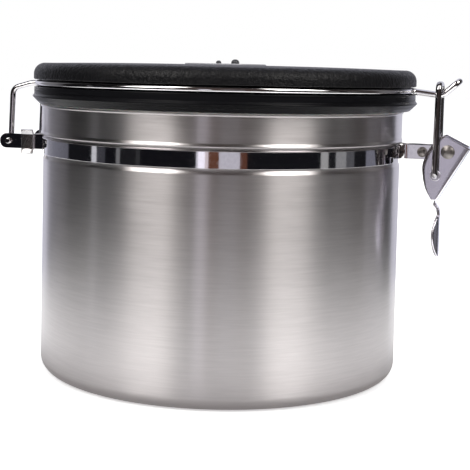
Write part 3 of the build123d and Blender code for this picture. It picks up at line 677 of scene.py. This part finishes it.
class CANISTER_OT_band(bpy.types.Operator):
    """Bend the two half bands, with their hinge arms and latch tabs."""

    bl_idname = "canister.band"
    bl_label = "Clamp band"

    def execute(self, context):
        size = context.scene.canister_band
        for side, name in ((-1, "near"), (1, "far")):
            stations = self.stations(size, side)
            bm = bmesh.new()
            skin(bm, [self.section(size, *station) for station in stations])
            piece_from(bm, f"half_band_{name}", "polished_band", "canister", f"band_{name}",
                       40)
        return {"FINISHED"}

    def stations(self, size, side):
        """Places along one half band: point, outward normal, level and half height."""
        rear_x, rear_y = self.tangent(size.middle, size.arm_bend, size.arm_offset)
        front_x, front_y = self.tangent(size.middle, size.tab_bend, size.tab_offset)
        rear_turn, front_turn = math.atan2(rear_y, rear_x), math.atan2(front_y, front_x)
        path = []
        for share in (0, 0.004, 0.015, 0.04, 0.08, 0.12, 0.16, 0.3, 0.6, 1):
            path.append(((size.arm_end - rear_x) * share - size.arm_end, size.arm_offset, 0.0, 1.0))
        for step in range(1, 13):
            angle = (math.pi / 2 - rear_turn) * step / 12
            out_x, out_y = math.sin(angle), math.cos(angle)
            path.append((size.arm_bend * out_x - rear_x, rear_y - size.arm_bend * out_y,
                         out_x, out_y))
        first = math.pi - rear_turn
        for step in range(1, 150):
            angle = first + (front_turn - first) * step / 150
            out_x, out_y = math.cos(angle), math.sin(angle)
            path.append((size.middle * out_x, size.middle * out_y, out_x, out_y))
        for step in range(13):
            angle = (math.pi / 2 - front_turn) * (1 - step / 12)
            out_x, out_y = -math.sin(angle), math.cos(angle)
            path.append((front_x + size.tab_bend * out_x, front_y - size.tab_bend * out_y,
                         out_x, out_y))
        for share in (0.3, 0.6, 0.8, 0.86, 0.9, 0.94, 0.97, 0.99, 0.997, 1):
            path.append((front_x + (size.tab_end - front_x) * share, size.tab_offset, 0.0, 1.0))
        lead = front_turn + size.tab_lead / size.middle
        stations = []
        for x, y, out_x, out_y in path:
            rise = eased(min(max((lead - math.atan2(y, x)) / (lead - front_turn), 0.0), 1.0))
            level = size.level + (size.tab_level - size.level) * rise
            half = (size.height + (size.tab_height - size.height) * rise) / 2
            for end in (x + size.arm_end, size.tab_end - x):
                corner = 0.92 * half
                if end < corner:
                    half -= corner - math.sqrt(max(corner ** 2 - (corner - end) ** 2, 0.0))
            stations.append((Vector((x, side * y, 0)), Vector((out_x, side * out_y, 0)),
                             level, half))
        return stations

    @staticmethod
    def tangent(middle, bend, offset):
        """The X where a bend off the band's circle ends, with its centre's Y."""
        centre_y = offset + bend
        return math.sqrt((middle + bend) ** 2 - centre_y ** 2), centre_y

    @staticmethod
    def section(size, point, across, level, half):
        """One rounded section of the strip."""
        thin, edge = size.thick / 2, 0.16 * size.thick
        corners = [(thin, half - edge), (thin - edge, half)]
        spots = []
        for side, sign in ((1, 1), (-1, 1), (-1, -1), (1, -1)):
            for out, up in corners if side == sign else reversed(corners):
                height = level + sign * max(up, 1e-5)
                spots.append(point + across * side * out + Vector((0, 0, height)))
        return spots


class CANISTER_OT_keeper(bpy.types.Operator):
    """Fold the hinge keeper's sides and web."""

    bl_idname = "canister.keeper"
    bl_label = "Hinge keeper"

    def execute(self, context):
        low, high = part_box("hinge_keeper")
        sheet, lean, lip, fold = 0.0008, 0.0008, 0.0015, 0.0006
        bm = bmesh.new()
        for side in (-1, 1):
            wall, tip = side * (high.y - lean - sheet / 2), side * (high.y - sheet / 2)
            path = bent([(0, tip, low.z), (0, wall, low.z + lip), (0, wall, high.z - lip),
                         (0, tip, high.z)], [fold, fold], 12.0)
            skin(bm, [[Vector((x, point.y, point.z)) for point in path] for x in (low.x, high.x)],
                 closed=False)
        inner = high.y - lean - sheet
        skin(bm, [[Vector((high.x - sheet / 2, y, z)) for y in (-inner, inner)]
                  for z in (low.z + lip, high.z - lip)], closed=False)
        piece = piece_from(bm, "keeper_bracket", "satin_keeper", "canister", "hinge_keeper",
                           50)
        soften(piece, 0.00012, 2, sheet)
        return {"FINISHED"}


class CANISTER_OT_rivets(bpy.types.Operator):
    """Turn the band rivet and the lever rivet, with domed heads."""

    bl_idname = "canister.rivets"
    bl_label = "Rivets"

    def execute(self, context):
        latch = context.scene.canister_latch
        band = context.scene.canister_band
        grip = band.tab_offset + band.thick / 2
        self.rivet("band_rivet_domed", "band_rivet", latch.band_rivet_x, band.tab_level, grip,
                   latch.band_rivet_head, latch.band_rivet_dome)
        self.rivet("lever_rivet_domed", "lever_rivet", latch.pivot_x, latch.pivot_z,
                   latch.half + 0.0001, latch.rivet_head, latch.rivet_dome)
        return {"FINISHED"}

    def rivet(self, name, node, x, z, grip, head, dome):
        """One rivet across the centre plane."""
        shank, edge = 0.0015, 0.04 * head
        radius = (head ** 2 + dome ** 2) / (2 * dome)
        reach = math.asin(head / radius)
        half = [(radius * math.sin(reach * step / 10),
                 grip + dome - radius * (1 - math.cos(reach * step / 10))) for step in range(10)]
        half += [(head, grip + edge), (head - edge, grip), (shank, grip)]
        outline = half + [(r, -h) for r, h in reversed(half)]
        stand = Matrix.Translation((x, 0, z)) @ Matrix.Rotation(math.pi / 2, 4, "X")
        bm = turn_outline(bmesh.new(), outline, 64, stand)
        piece_from(bm, name, "satin_rivet", "canister", node, 40)


class CANISTER_OT_wire(bpy.types.Operator):
    """Bend the lid wire: hinge legs, ring and hook."""

    bl_idname = "canister.wire"
    bl_label = "Lid wire"

    def execute(self, context):
        size = context.scene.canister_wire
        centre = context.scene.canister_lid.centre
        leg, hook, ring, level = size.leg_offset, size.hook_offset, size.ring, size.level
        exit_angle, hook_angle = math.radians(14.0), math.radians(5.5)
        exit_run = (ring * math.sin(exit_angle) - leg) / math.cos(exit_angle)
        hook_run = (ring * math.sin(hook_angle) - hook) / math.cos(hook_angle)
        rear_x, front_x = centre - ring * math.cos(exit_angle), centre + ring * math.cos(hook_angle)
        foot_bend, leg_bend, shoulder_bend, exit_bend = 0.00115, 0.0029, 0.004, 0.0026
        hook_bend, valley_bend, tip_bend = 0.0023, 0.003, 0.95 * hook
        half = bent([
            (-size.hinge_x, -size.foot_end, size.hinge_z),
            (-size.hinge_x, -leg, size.hinge_z),
            (-size.hinge_x + size.leg_lean, -leg, size.hinge_z + size.leg_rise),
            (-size.shoulder_x, -leg, level - size.arm_dip),
            (rear_x - exit_run * math.sin(exit_angle), -leg, level),
            (rear_x, -ring * math.sin(exit_angle), level),
        ], [foot_bend, leg_bend, shoulder_bend, exit_bend], 7.0)
        first, last = math.pi + exit_angle, math.tau - hook_angle
        for step in range(1, 121):
            angle = first + (last - first) * step / 120
            half.append(Vector((centre + ring * math.cos(angle), ring * math.sin(angle), level)))
        half += bent([
            (front_x, -ring * math.sin(hook_angle), level),
            (front_x + hook_run * math.sin(hook_angle), -hook, level),
            (size.valley_x, -hook, size.valley_z),
            (size.tip_x, -hook, size.tip_z),
            (size.tip_x, 0, size.tip_z),
        ], [hook_bend, valley_bend, tip_bend], 7.0)[1:]
        wire_piece("lid_wire_round", mirrored(half), size.radius, "polished_wire", "lid",
                   "lid_wire")
        return {"FINISHED"}


class CANISTER_OT_lid(bpy.types.Operator):
    """Turn the lid's cap and base."""

    bl_idname = "canister.lid"
    bl_label = "Lid"

    def execute(self, context):
        size = context.scene.canister_lid
        self.cap(context, size)
        self.base(context, size)
        return {"FINISHED"}

    def turn(self, context, size, outline, name, finish, node, crease):
        """One half of the lid from its outline."""
        bm = turn_outline(bmesh.new(), outline, context.scene.canister_finishes.facets,
                          Matrix.Translation((size.centre, 0, 0)))
        piece_from(bm, name, finish, "lid", node, crease)

    def cap(self, context, size):
        """The rounded upper half, with the dials' well and a slightly crowned top."""
        play, well_wall = 0.0002, 0.002
        hub, well, outer = size.hub_radius, size.dial_radius + play, size.cap_radius
        inner, ceiling = size.wire_groove + play / 2, size.cap_ceiling
        flat, edge = well + well_wall + play, outer - size.cap_edge
        bend = ((edge - flat) ** 2 + size.crown ** 2) / (2 * size.crown)
        crown = [(flat + (edge - flat) * step / 12,
                  size.top - bend + math.sqrt(bend ** 2 - ((edge - flat) * step / 12) ** 2))
                 for step in range(1, 12)]
        middle = outline_of([
            (hub, size.well_bottom), (hub, size.dial_floor), (well, size.dial_floor),
            (well, size.top), (flat, size.top),
        ], [0, 0.0001, 0.0003], 12.0)
        side = outline_of([
            crown[-1], (outer, size.top - size.crown), (outer, size.cap_bottom),
            (inner, size.cap_bottom), (inner, ceiling), (well + well_wall, ceiling),
            (well + well_wall, size.well_bottom), (hub + play / 2, size.well_bottom),
        ], [size.cap_edge * 0.995, 0.0004, 0.0002, 0.0024, 0.0005, 0.0003], 4.0)
        self.turn(context, size, middle + crown[:-1] + side, "lid_cap_moulded", "lid_plastic",
                  "lid_cap", 30)

    def base(self, context, size):
        """The lower half, with the gasket's groove, the flared lip and the wire's ledge."""
        valve_hole, spigot_rise, spigot_wall = 0.0091, 0.0012, 0.0022
        floor, plate = size.base_bottom, size.base_bottom + size.plate
        spigot, top, skirt = size.wire_groove, size.cap_bottom + spigot_rise, floor - size.skirt
        groove = floor + size.gasket_deep
        outline = outline_of([
            (valve_hole, plate), (valve_hole, floor), (size.gasket_inner, floor),
            (size.gasket_inner, groove), (size.gasket_outer, groove), (size.gasket_outer, skirt),
            (size.foot_radius, skirt), (size.lip_radius, size.lip_level),
            (size.ring_radius, size.neck_level), (size.ring_radius, size.base_top),
            (spigot, size.base_top), (spigot, top), (spigot - spigot_wall, top),
            (spigot - spigot_wall, plate), (valve_hole + 0.0001, plate),
        ], [0, 0, 0, 0, 0, 0.0002, 0.0004, 0.0003, 0.0003, 0.0002, 0.0002, 0.0002, 0.0008], 8.0)
        self.turn(context, size, outline, "lid_base_moulded", "base_plastic", "lid_base", 28)


class CANISTER_OT_dials(bpy.types.Operator):
    """Turn the two date dials, number them, and give their hub its finish."""

    bl_idname = "canister.dials"
    bl_label = "Date dials"

    def execute(self, context):
        size = context.scene.canister_lid
        self.stand = Matrix.Translation((size.centre, 0, 0))
        self.top = top = size.dial_top
        play, gap, flange, edge, recess_deep = 0.0002, 0.0001, 0.00055, 0.00012, 0.00065
        pin, month, recess = size.hub_radius + 0.00006, size.month_radius, size.hub_head + play
        low = size.dial_floor + gap
        rise = low + flange + gap
        day_turn, month_turn = -57.0, 130.0
        self.dial("day_dial", "dial_grey", [
            (pin, low), (size.dial_radius, low), (size.dial_radius, top), (month + play, top),
            (month + play, low + flange), (pin, low + flange),
        ], [edge, 0.0003, 0.00015, 0], 160,
            (day_turn, size.day_pip_reach, size.day_pip_radius, size.day_pip_height))
        self.dial("month_dial", "dial_light", [
            (pin, rise), (month, rise), (month, top), (recess, top), (recess, top - recess_deep),
            (pin, top - recess_deep),
        ], [edge, 0.00025, 0.00012, 0], 120,
            (month_turn, size.month_pip_reach, size.month_pip_radius, size.month_pip_height))
        dress("dial_hub", "dial_plastic")
        self.numbers("day_numbers", "day_dial", 31, day_turn,
                     reach=(month + size.dial_radius) / 2 + 0.0014, tall=0.00155)
        self.numbers("month_numbers", "month_dial", 12, month_turn,
                     reach=size.month_pip_reach + 0.0002, tall=0.00150)
        return {"FINISHED"}

    def dial(self, node, slot, corners, bends, facets, pip):
        """One dial with its pip, in their two finishes."""
        bm = turn_outline(bmesh.new(), outline_of(corners, bends, 15.0), facets, self.stand)
        self.pip(bm, *pip)
        piece = piece_from(bm, f"{node}_moulded", "dial_plastic", node, node, 30)
        piece.data.materials.append(finish_named("pip_plastic"))
        for face in piece.data.polygons:
            face.material_index = 1 if face.center.z > self.top + 0.00002 else 0

    def pip(self, bm, turn, reach, radius, height):
        """A domed pip that turns its dial."""
        foot, head = self.top - 0.0002, self.top + height
        angle = math.radians(turn)
        place = Matrix.Translation((reach * math.cos(angle), reach * math.sin(angle), 0))
        outline = outline_of([(radius, foot), (radius, head), (0, head)], [radius * 0.88], 10.0)
        turn_outline(bm, [(0, foot), *outline], 40, self.stand @ place)

    def numbers(self, name, body, count, start, reach, tall):
        """Flat numbers round a dial, with the pip in the first place."""
        proud, thick = 0.00002, 0.00005
        bm = bmesh.new()
        for number in range(1, count + 1):
            text = bpy.data.curves.new(name, "FONT")
            text.body = str(number)
            text.size = tall
            text.align_x = "CENTER"
            text.align_y = "CENTER"
            text.resolution_u = 2
            holder = bpy.data.objects.new(name, text)
            flat = bpy.data.meshes.new_from_object(holder)
            angle = math.radians(start) - math.tau * number / (count + 1)
            flat.transform(self.stand @ Matrix.Rotation(angle, 4, "Z")
                           @ Matrix.Translation((reach, 0, self.top + proud))
                           @ Matrix.Rotation(-math.pi / 2, 4, "Z"))
            bm.from_mesh(flat)
            bpy.data.meshes.remove(flat)
            bpy.data.objects.remove(holder)
            bpy.data.curves.remove(text)
        slab = bmesh.ops.extrude_face_region(bm, geom=bm.faces[:])
        for spot in slab["geom"]:
            if isinstance(spot, bmesh.types.BMVert):
                spot.co.z -= thick
        piece_from(bm, name, "numeral_paint", body)


class CANISTER_OT_lever(bpy.types.Operator):
    """Fold the latch lever, with its curled neck and thumb tab."""

    bl_idname = "canister.lever"
    bl_label = "Latch lever"

    def execute(self, context):
        size = context.scene.canister_latch
        self.channel(size)
        spine = flowing([self.place(size, *share) for share in (
            (-0.190, -0.930), (-0.240, -1.050), (-0.178, -1.150), (-0.155, -1.300))])
        rows = []
        for index, spot in enumerate(spine):
            share = index / (len(spine) - 1)
            half = size.neck / 2 * (1 + 0.25 * (2 * share - 1) ** 4)
            rows.append([aside(spot, side * half) for side in (-1, -0.5, 0, 0.5, 1)])
        bm = bmesh.new()
        skin(bm, rows, closed=False)
        self.pressed(bm, "lever_neck", 0.00014, 2, size.sheet)
        self.thumb(size, spine[-1].z + 0.001 - size.thumb_length / 2)
        return {"FINISHED"}

    @staticmethod
    def place(size, out, up):
        """A place on the lever's side view, from shares of its drop."""
        return Vector((size.pivot_x + out * size.drop, 0, size.pivot_z + up * size.drop))

    @staticmethod
    def pressed(bm, name, edge, segments, sheet):
        """A pressed piece of the lever, from the middle of its sheet."""
        piece = piece_from(bm, name, "satin_lever", "lever", "latch_lever", 60)
        soften(piece, edge, segments, sheet)

    def channel(self, size):
        """The folded channel: a web in front and a cheek to each side."""
        foot, top = self.place(size, -0.184, -0.971), self.place(size, 0.421, 0.068)
        along = (top - foot).normalized()
        inwards = Vector((-along.z, 0, along.x))
        back = flowing([self.place(size, *share) for share in (
            (-0.292, -0.957), (-0.421, -0.708), (-0.484, -0.345), (-0.440, -0.126), (-0.328, 0.099),
            (-0.174, 0.264), (-0.074, 0.316))])
        thin = size.sheet / 2
        cheek, bend = size.half - thin, size.fold - thin
        rows = []
        for index, edge in enumerate(back):
            ridge = foot.lerp(top, index / (len(back) - 1))
            start = ridge + inwards * (thin + bend)
            row = [aside(edge.lerp(start, step / 8), -cheek) for step in range(9)]
            for step in range(1, 7):
                angle = math.pi / 2 * step / 6
                spot = ridge + inwards * (thin + bend * (1 - math.sin(angle)))
                row.append(aside(spot, bend * (1 - math.cos(angle)) - cheek))
            row += [aside(point, -point.y) for point in reversed(row)]
            rows.append(row)
        bm = bmesh.new()
        skin(bm, rows, closed=False)
        self.pressed(bm, "lever_channel", 0.00014, 2, size.sheet)

    def thumb(self, size, level):
        """The oval thumb tab, cupped towards the pot."""
        half_y, half_z = size.thumb_width / 2, size.thumb_length / 2
        bend = (half_y ** 2 + size.thumb_cup ** 2) / (2 * size.thumb_cup)
        face = size.pivot_x - 0.135 * size.drop - size.sheet / 2
        count = 64
        rings = []
        for ring in range(1, 9):
            rings.append([Vector((face - bend + math.sqrt(bend ** 2 - (half_y * spot.x) ** 2),
                                  half_y * spot.x, level + half_z * spot.y))
                          for spot in circle(ring / 8, count)])
        bm = bmesh.new()
        made = skin(bm, rings, caps=False)
        hub = bm.verts.new((face, 0, level))
        for step in range(count):
            bm.faces.new((hub, made[0][step], made[0][(step + 1) % count]))
        self.pressed(bm, "thumb_tab", 0.00025, 3, size.sheet)


class CANISTER_OT_bail(bpy.types.Operator):
    """Bend the bail and turn the eyelets it hangs in."""

    bl_idname = "canister.bail"
    bl_label = "Bail"

    def execute(self, context):
        size = context.scene.canister_latch
        wire = context.scene.canister_wire.radius
        lining, foot_bend, head_bend = 0.0012, 0.00115, 0.0022
        half = bent([
            (size.hole_x, -size.half + lining, size.hole_z),
            (size.hole_x, -size.bail_foot, size.hole_z),
            (size.head_x, -size.bail_head, size.head_z),
            (size.head_x, 0, size.head_z),
        ], [foot_bend, head_bend], 7.0)
        wire_piece("bail_wire", mirrored(half), wire, "polished_bail", "bail", "latch_bail")
        bore, wall, rim, rim_height = wire + 0.00006, 0.0004, 0.00035, 0.0003
        barrel, flange = bore + wall, bore + wall + rim
        inner, outer, top = size.half - size.sheet, size.half, size.half + rim_height
        outline = outline_of([
            (bore, inner), (barrel, inner), (barrel, outer), (flange, outer), (flange, top),
            (bore, top),
        ], [0.00008, 0.00004, 0.00012, 0.00014], 20.0)
        bm = bmesh.new()
        for side in (-1, 1):
            turn_outline(bm, outline, 48, Matrix.Translation((size.hole_x, 0, size.hole_z))
                         @ Matrix.Rotation(-side * math.pi / 2, 4, "X"))
        piece_from(bm, "eyelet_rings", "satin_eyelet", "lever", "bail_eyelets", 40)
        return {"FINISHED"}


class CANISTER_OT_inside(bpy.types.Operator):
    """Give the valve, gasket, screws and spacers their finishes."""

    bl_idname = "canister.inside"
    bl_label = "Inner pieces"

    def execute(self, context):
        wanted = {
            "soft_silicone": ("lid_gasket", "valve_seal", "valve_disc"),
            "satin_screw": ("lid_screws",),
            "valve_plastic": ("valve_housing", "valve_nut", "valve_cap", "valve_grille"),
            "pressed_felt": ("valve_filter",),
            "satin_rivet": ("tab_spacers",),
        }
        for finish, nodes in wanted.items():
            for node in nodes:
                dress(node, finish)
        return {"FINISHED"}


class CANISTER_OT_stage(bpy.types.Operator):
    """Set the floor, the studio, the lamps and the camera."""

    bl_idname = "canister.stage"
    bl_label = "Stage"

    def execute(self, context):
        scene = context.scene
        scene.view_settings.view_transform = "Standard"
        self.floor()
        self.studio(scene)
        self.lamps(scene)
        self.camera(scene)
        return {"FINISHED"}

    @staticmethod
    def floor():
        """A pale floor: a table near the canister, and the rest, which metal doesn't show.

        Metal sees the table with painted pools of light and a painted shadow round the foot.
        """
        pale = (0.93, 0.93, 0.93, 1)
        finish, tree, surface = start_finish("pale_floor", pale, 0.0, 0.8)
        vary_colour(tree, surface, grain(tree, even(40.0)), pale, 0.925 / 0.93, 0.935 / 0.93)
        rays, place = add_node(tree, "LightPath"), add_node(tree, "TexCoord")
        turn, _ = bearing_from(tree, (place, "Object"))
        # Painted pools of light on the table, which only metal sees: bright towards the softboxes,
        # painted shade in front, dim elsewhere.
        painted_light_pool = (0.54, 0.53, 0.52)
        painted_light_pools = add_ramp(tree, turn, "LINEAR", bearings(
            (-180, 0.17), (-62, 0.17), (-44, *painted_light_pool), (-28, *painted_light_pool), (-14, 0.10), (14, 0.10),
            (28, *painted_light_pool), (44, *painted_light_pool), (62, 0.17), (180, 0.17)))
        # Metal sees the table's painted light only outside the canister's foot, and a painted
        # shadow, a dark ring, under it.
        reach = add_node(tree, "VectorMath", (place, "Object"), operation="LENGTH")
        clear_of_painted_shadow = add_node(tree, "MapRange", (reach, "Value"), From_Min=0.060, From_Max=0.092)
        glossy = (rays, "Is Glossy Ray")
        painted_light_share = add_node(tree, "Math", glossy, (clear_of_painted_shadow, "Result"), operation="MULTIPLY")
        painted_shadow_share = add_node(tree, "Math", glossy, (painted_light_share, "Value"), operation="SUBTRACT")
        # The painted light glows from the table for glossy rays only.
        painted_table_light = add_node(tree, "Emission", (painted_light_pools, "Color"), (painted_light_share, "Value"))
        seen = add_node(tree, "Emission", Color=(1, 1, 1, 1), Strength=0.42)
        # Painted shadow: the dark ring round the canister's foot, which only metal sees.
        under = add_node(tree, "Emission", Color=(0.36, 0.34, 0.34, 1))
        glow = add_node(tree, "MixShader", (rays, "Is Camera Ray"), (painted_table_light, 0), (seen, 0))
        open_floor = add_node(tree, "AddShader", (surface, 0), (glow, 0))
        whole = add_node(tree, "MixShader", (painted_shadow_share, "Value"), (open_floor, 0), (under, 0))
        join(tree, whole, 0, tree.nodes["Material Output"], "Surface")
        for name, inner, outer in (("table", 0.0, TABLE_RADIUS),
                                   ("floor", TABLE_RADIUS, FLOOR_RADIUS)):
            bm = bmesh.new()
            skin(bm, [circle(radius, 96, -0.0002) for radius in (outer, inner)], caps=False)
            bmesh.ops.remove_doubles(bm, verts=bm.verts, dist=1e-6)
            ground = object_from(bm, name, finish)
            ground.visible_glossy = name == "table"

    @staticmethod
    def studio(scene):
        """A white surround, with the softboxes and dark walls that metal shows."""
        world = bpy.data.worlds.new("studio")
        scene.world = world
        world.use_nodes = True
        tree = world.node_tree
        backing = tree.nodes["Background"]
        place = add_node(tree, "TexCoord")
        turn, split = bearing_from(tree, (place, "Generated"))
        panel, rear_wall, softbox = (0.55, 0.53, 0.60), (0.70, 0.70, 0.80), (1.0, 0.97, 0.94)
        # At the pot's level: dark walls in front, with the panels that draw its stripes.
        walls = add_ramp(tree, turn, "CONSTANT", bearings(
            (-180, 0), (-110, 0.008, 0.008, 0.01), (-88, 0.60, 0.60, 0.64), (-83, 0.05, 0.05, 0.06),
            (-76, 0.006, 0.006, 0.008), (-67.6, 0.18, 0.18, 0.19), (-66, 0.012, 0.012, 0.014),
            (-54.6, 0.035, 0.035, 0.038), (-51.4, 0.006, 0.006, 0.008), (-15, *panel),
            (-9.9, 0.13, 0.055, 0.035), (-1.9, *panel), (10.3, 0.11, 0.045, 0.03),
            (15.3, 0.007, 0.007, 0.009), (62.5, 0.36), (68, 0.01, 0.01, 0.012),
            (73.5, 0.26, 0.26, 0.27), (82, 0.09, 0.09, 0.10), (90, 0.01, 0.01, 0.012),
            (101, 0.17, 0.17, 0.21), (127, 0.02), (142, 0)))
        # At the same level, behind the pot.
        rear = add_ramp(tree, turn, "LINEAR", bearings(
            (-180, *rear_wall), (-148, 0.68, 0.68, 0.78), (-142, 0.30, 0.30, 0.35),
            (-131, 0.19, 0.19, 0.23), (-110.5, 0.12, 0.12, 0.145), (-110, 0), (141.5, 0),
            (142, 0.68, 0.68, 0.78), (180, *rear_wall)))
        # Above and below that.
        upper = add_ramp(tree, turn, "LINEAR", bearings(
            (-180, *rear_wall), (-145, *rear_wall), (-141, 0.26, 0.26, 0.28),
            (-122, 0.14, 0.135, 0.14), (-108, 0.004), (-70, 0.004), (-24, 0.07, 0.054, 0.050),
            (24, 0.055, 0.044, 0.042), (68, 0.02, 0.017, 0.016), (100, 0.05, 0.042, 0.040),
            (106, 0.15, 0.14, 0.14), (122, 0.13, 0.125, 0.13), (128, 0.05, 0.05, 0.055),
            (138, 0.06, 0.06, 0.065), (144, *rear_wall), (180, *rear_wall)))
        # The two softboxes, and the heights between which they hang.
        boxes = add_ramp(tree, turn, "LINEAR", bearings(
            (-180, 0), (-66, 0), (-60, *softbox), (-34, *softbox), (-29, 0), (29, 0),
            (34, *softbox), (60, *softbox), (66, 0), (180, 0)))
        hung = add_ramp(tree, (split, "Z"), "LINEAR",
                        ((0.0, 0), (0.30, 0), (0.38, 1), (0.86, 1), (0.93, 0)))
        # The pot's level runs into the rest a little to each side of its middle.
        middle = add_node(tree, "Math", (split, "Z"), operation="ADD")
        middle.inputs[1].default_value = 0.075
        slope = add_node(tree, "Math", (middle, "Value"), operation="ABSOLUTE")
        height = add_node(tree, "MapRange", (slope, "Value"), From_Min=0.04, From_Max=0.07)
        low = add_node(tree, "VectorMath", (walls, 0), (rear, 0), operation="ADD")
        room = add_node(tree, "Mix", (height, "Result"), (low, 0), (upper, 0), into=(0, 6, 7),
                        data_type="RGBA")
        masked = add_node(tree, "VectorMath", (boxes, 0), (hung, 0), operation="MULTIPLY")
        bright = add_node(tree, "VectorMath", (masked, 0), operation="SCALE", Scale=BOX_LEVEL)
        total = add_node(tree, "VectorMath", (room, 2), (bright, 0), operation="ADD")
        # Only metal and gloss see the walls and boxes: all else sees plain white.
        rays = add_node(tree, "LightPath")
        soft = add_node(tree, "Mix", (rays, "Is Glossy Ray"), (total, 0), into=(0, 7),
                        data_type="RGBA")
        soft.inputs[6].default_value = (1, 1, 1, 1)
        level = add_node(tree, "MapRange", (rays, "Is Diffuse Ray"), To_Min=1.0, To_Max=0.62)
        join(tree, soft, 2, backing, "Color")
        join(tree, level, "Result", backing, "Strength")

    @staticmethod
    def lamps(scene):
        """Three soft lamps, which metal doesn't show, and a narrow card in front, which it does."""
        for name, place, power, wide in (("lamp_left", Vector((-0.55, -0.75, 0.85)), 7.0, 0.7),
                                         ("lamp_right", Vector((0.80, -0.55, 0.75)), 6.0, 0.7),
                                         ("lamp_back", Vector((0.0, 0.9, 0.9)), 5.0, 0.8)):
            light = bpy.data.lights.new(name, "AREA")
            light.energy = power
            light.size = wide
            lamp = bpy.data.objects.new(name, light)
            lamp.location = place
            towards = Vector((0, 0, 0.06)) - place
            lamp.rotation_euler = towards.to_track_quat("-Z", "Y").to_euler()
            lamp.visible_glossy = False
            scene.collection.objects.link(lamp)
        card = bpy.data.lights.new("front_card", "AREA")
        card.shape = "RECTANGLE"
        card.size, card.size_y = 0.052, 0.16
        card.energy = 0.58 * math.pi * card.size * card.size_y
        card.color = (1.0, 0.96, 1.08)
        board = bpy.data.objects.new("front_card", card)
        right, away, height = -0.078, 0.417, 0.05
        board.location = (right * math.cos(CAMERA_TURN) + away * math.sin(CAMERA_TURN),
                          right * math.sin(CAMERA_TURN) - away * math.cos(CAMERA_TURN), height)
        board.rotation_euler = (math.radians(90.0), 0.0, CAMERA_TURN)
        board.visible_camera = False
        board.visible_diffuse = False
        scene.collection.objects.link(board)

    @staticmethod
    def camera(scene):
        """The photograph's camera."""
        right = Vector((math.cos(CAMERA_TURN), math.sin(CAMERA_TURN), 0))
        level = Vector((-math.sin(CAMERA_TURN), math.cos(CAMERA_TURN), 0))
        ahead = level * math.cos(CAMERA_PITCH) - Vector((0, 0, math.sin(CAMERA_PITCH)))
        up = right.cross(ahead)
        tilted_right = right * math.cos(CAMERA_ROLL) + up * math.sin(CAMERA_ROLL)
        tilted_up = up * math.cos(CAMERA_ROLL) - right * math.sin(CAMERA_ROLL)
        lens = bpy.data.cameras.new("camera")
        lens.sensor_width = SENSOR_WIDTH
        lens.lens = SENSOR_WIDTH * FOCAL_LENGTH / PICTURE_WIDTH
        lens.shift_x = (PICTURE_WIDTH / 2 - PICTURE_CENTRE[0]) / PICTURE_WIDTH
        lens.shift_y = (PICTURE_CENTRE[1] - PICTURE_WIDTH / 2) / PICTURE_WIDTH
        lens.clip_start = 0.01
        lens.clip_end = 20.0
        camera = bpy.data.objects.new("camera", lens)
        stand = Matrix((tilted_right, tilted_up, -ahead)).transposed().to_4x4()
        stand.translation = level * -CAMERA_DISTANCE + Vector((0, 0, CAMERA_HEIGHT))
        camera.matrix_world = stand
        scene.collection.objects.link(camera)
        scene.camera = camera


class CANISTER_PT_panel(bpy.types.Panel):
    """The canister's pieces in the sidebar."""

    bl_idname = "CANISTER_PT_panel"
    bl_label = "Coffee Canister"
    bl_space_type = "VIEW_3D"
    bl_region_type = "UI"
    bl_category = "Canister"

    def draw(self, context):
        for operator in OPERATORS:
            self.layout.operator(operator.bl_idname)
        for name, _ in GROUPS:
            group = getattr(context.scene, name)
            box = self.layout.box()
            box.label(text=name.replace("canister_", "").capitalize())
            for key in group.__annotations__:
                box.prop(group, key)


GROUPS = (
    ("canister_pot", PotSizes),
    ("canister_band", BandSizes),
    ("canister_lid", LidSizes),
    ("canister_wire", WireSizes),
    ("canister_latch", LatchSizes),
    ("canister_finishes", Finishes),
)
OPERATORS = (
    CANISTER_OT_pot,
    CANISTER_OT_band,
    CANISTER_OT_keeper,
    CANISTER_OT_rivets,
    CANISTER_OT_wire,
    CANISTER_OT_lid,
    CANISTER_OT_dials,
    CANISTER_OT_lever,
    CANISTER_OT_bail,
    CANISTER_OT_inside,
    CANISTER_OT_stage,
)


def register():
    """Register the sizes, the operators and the panel."""
    for name, group in GROUPS:
        bpy.utils.register_class(group)
        setattr(bpy.types.Scene, name, PointerProperty(type=group))
    for operator in OPERATORS:
        bpy.utils.register_class(operator)
    bpy.utils.register_class(CANISTER_PT_panel)


def unregister():
    """Take the panel, the operators and the sizes out again."""
    bpy.utils.unregister_class(CANISTER_PT_panel)
    for operator in reversed(OPERATORS):
        bpy.utils.unregister_class(operator)
    for name, group in reversed(GROUPS):
        delattr(bpy.types.Scene, name)
        bpy.utils.unregister_class(group)


def main():
    """Build the canister."""
    register()
    bpy.ops.canister.pot()
    bpy.ops.canister.band()
    bpy.ops.canister.keeper()
    bpy.ops.canister.rivets()
    bpy.ops.canister.wire()
    bpy.ops.canister.lid()
    bpy.ops.canister.dials()
    bpy.ops.canister.lever()
    bpy.ops.canister.bail()
    bpy.ops.canister.inside()
    bpy.ops.canister.stage()


if __name__ == "__main__":
    main()
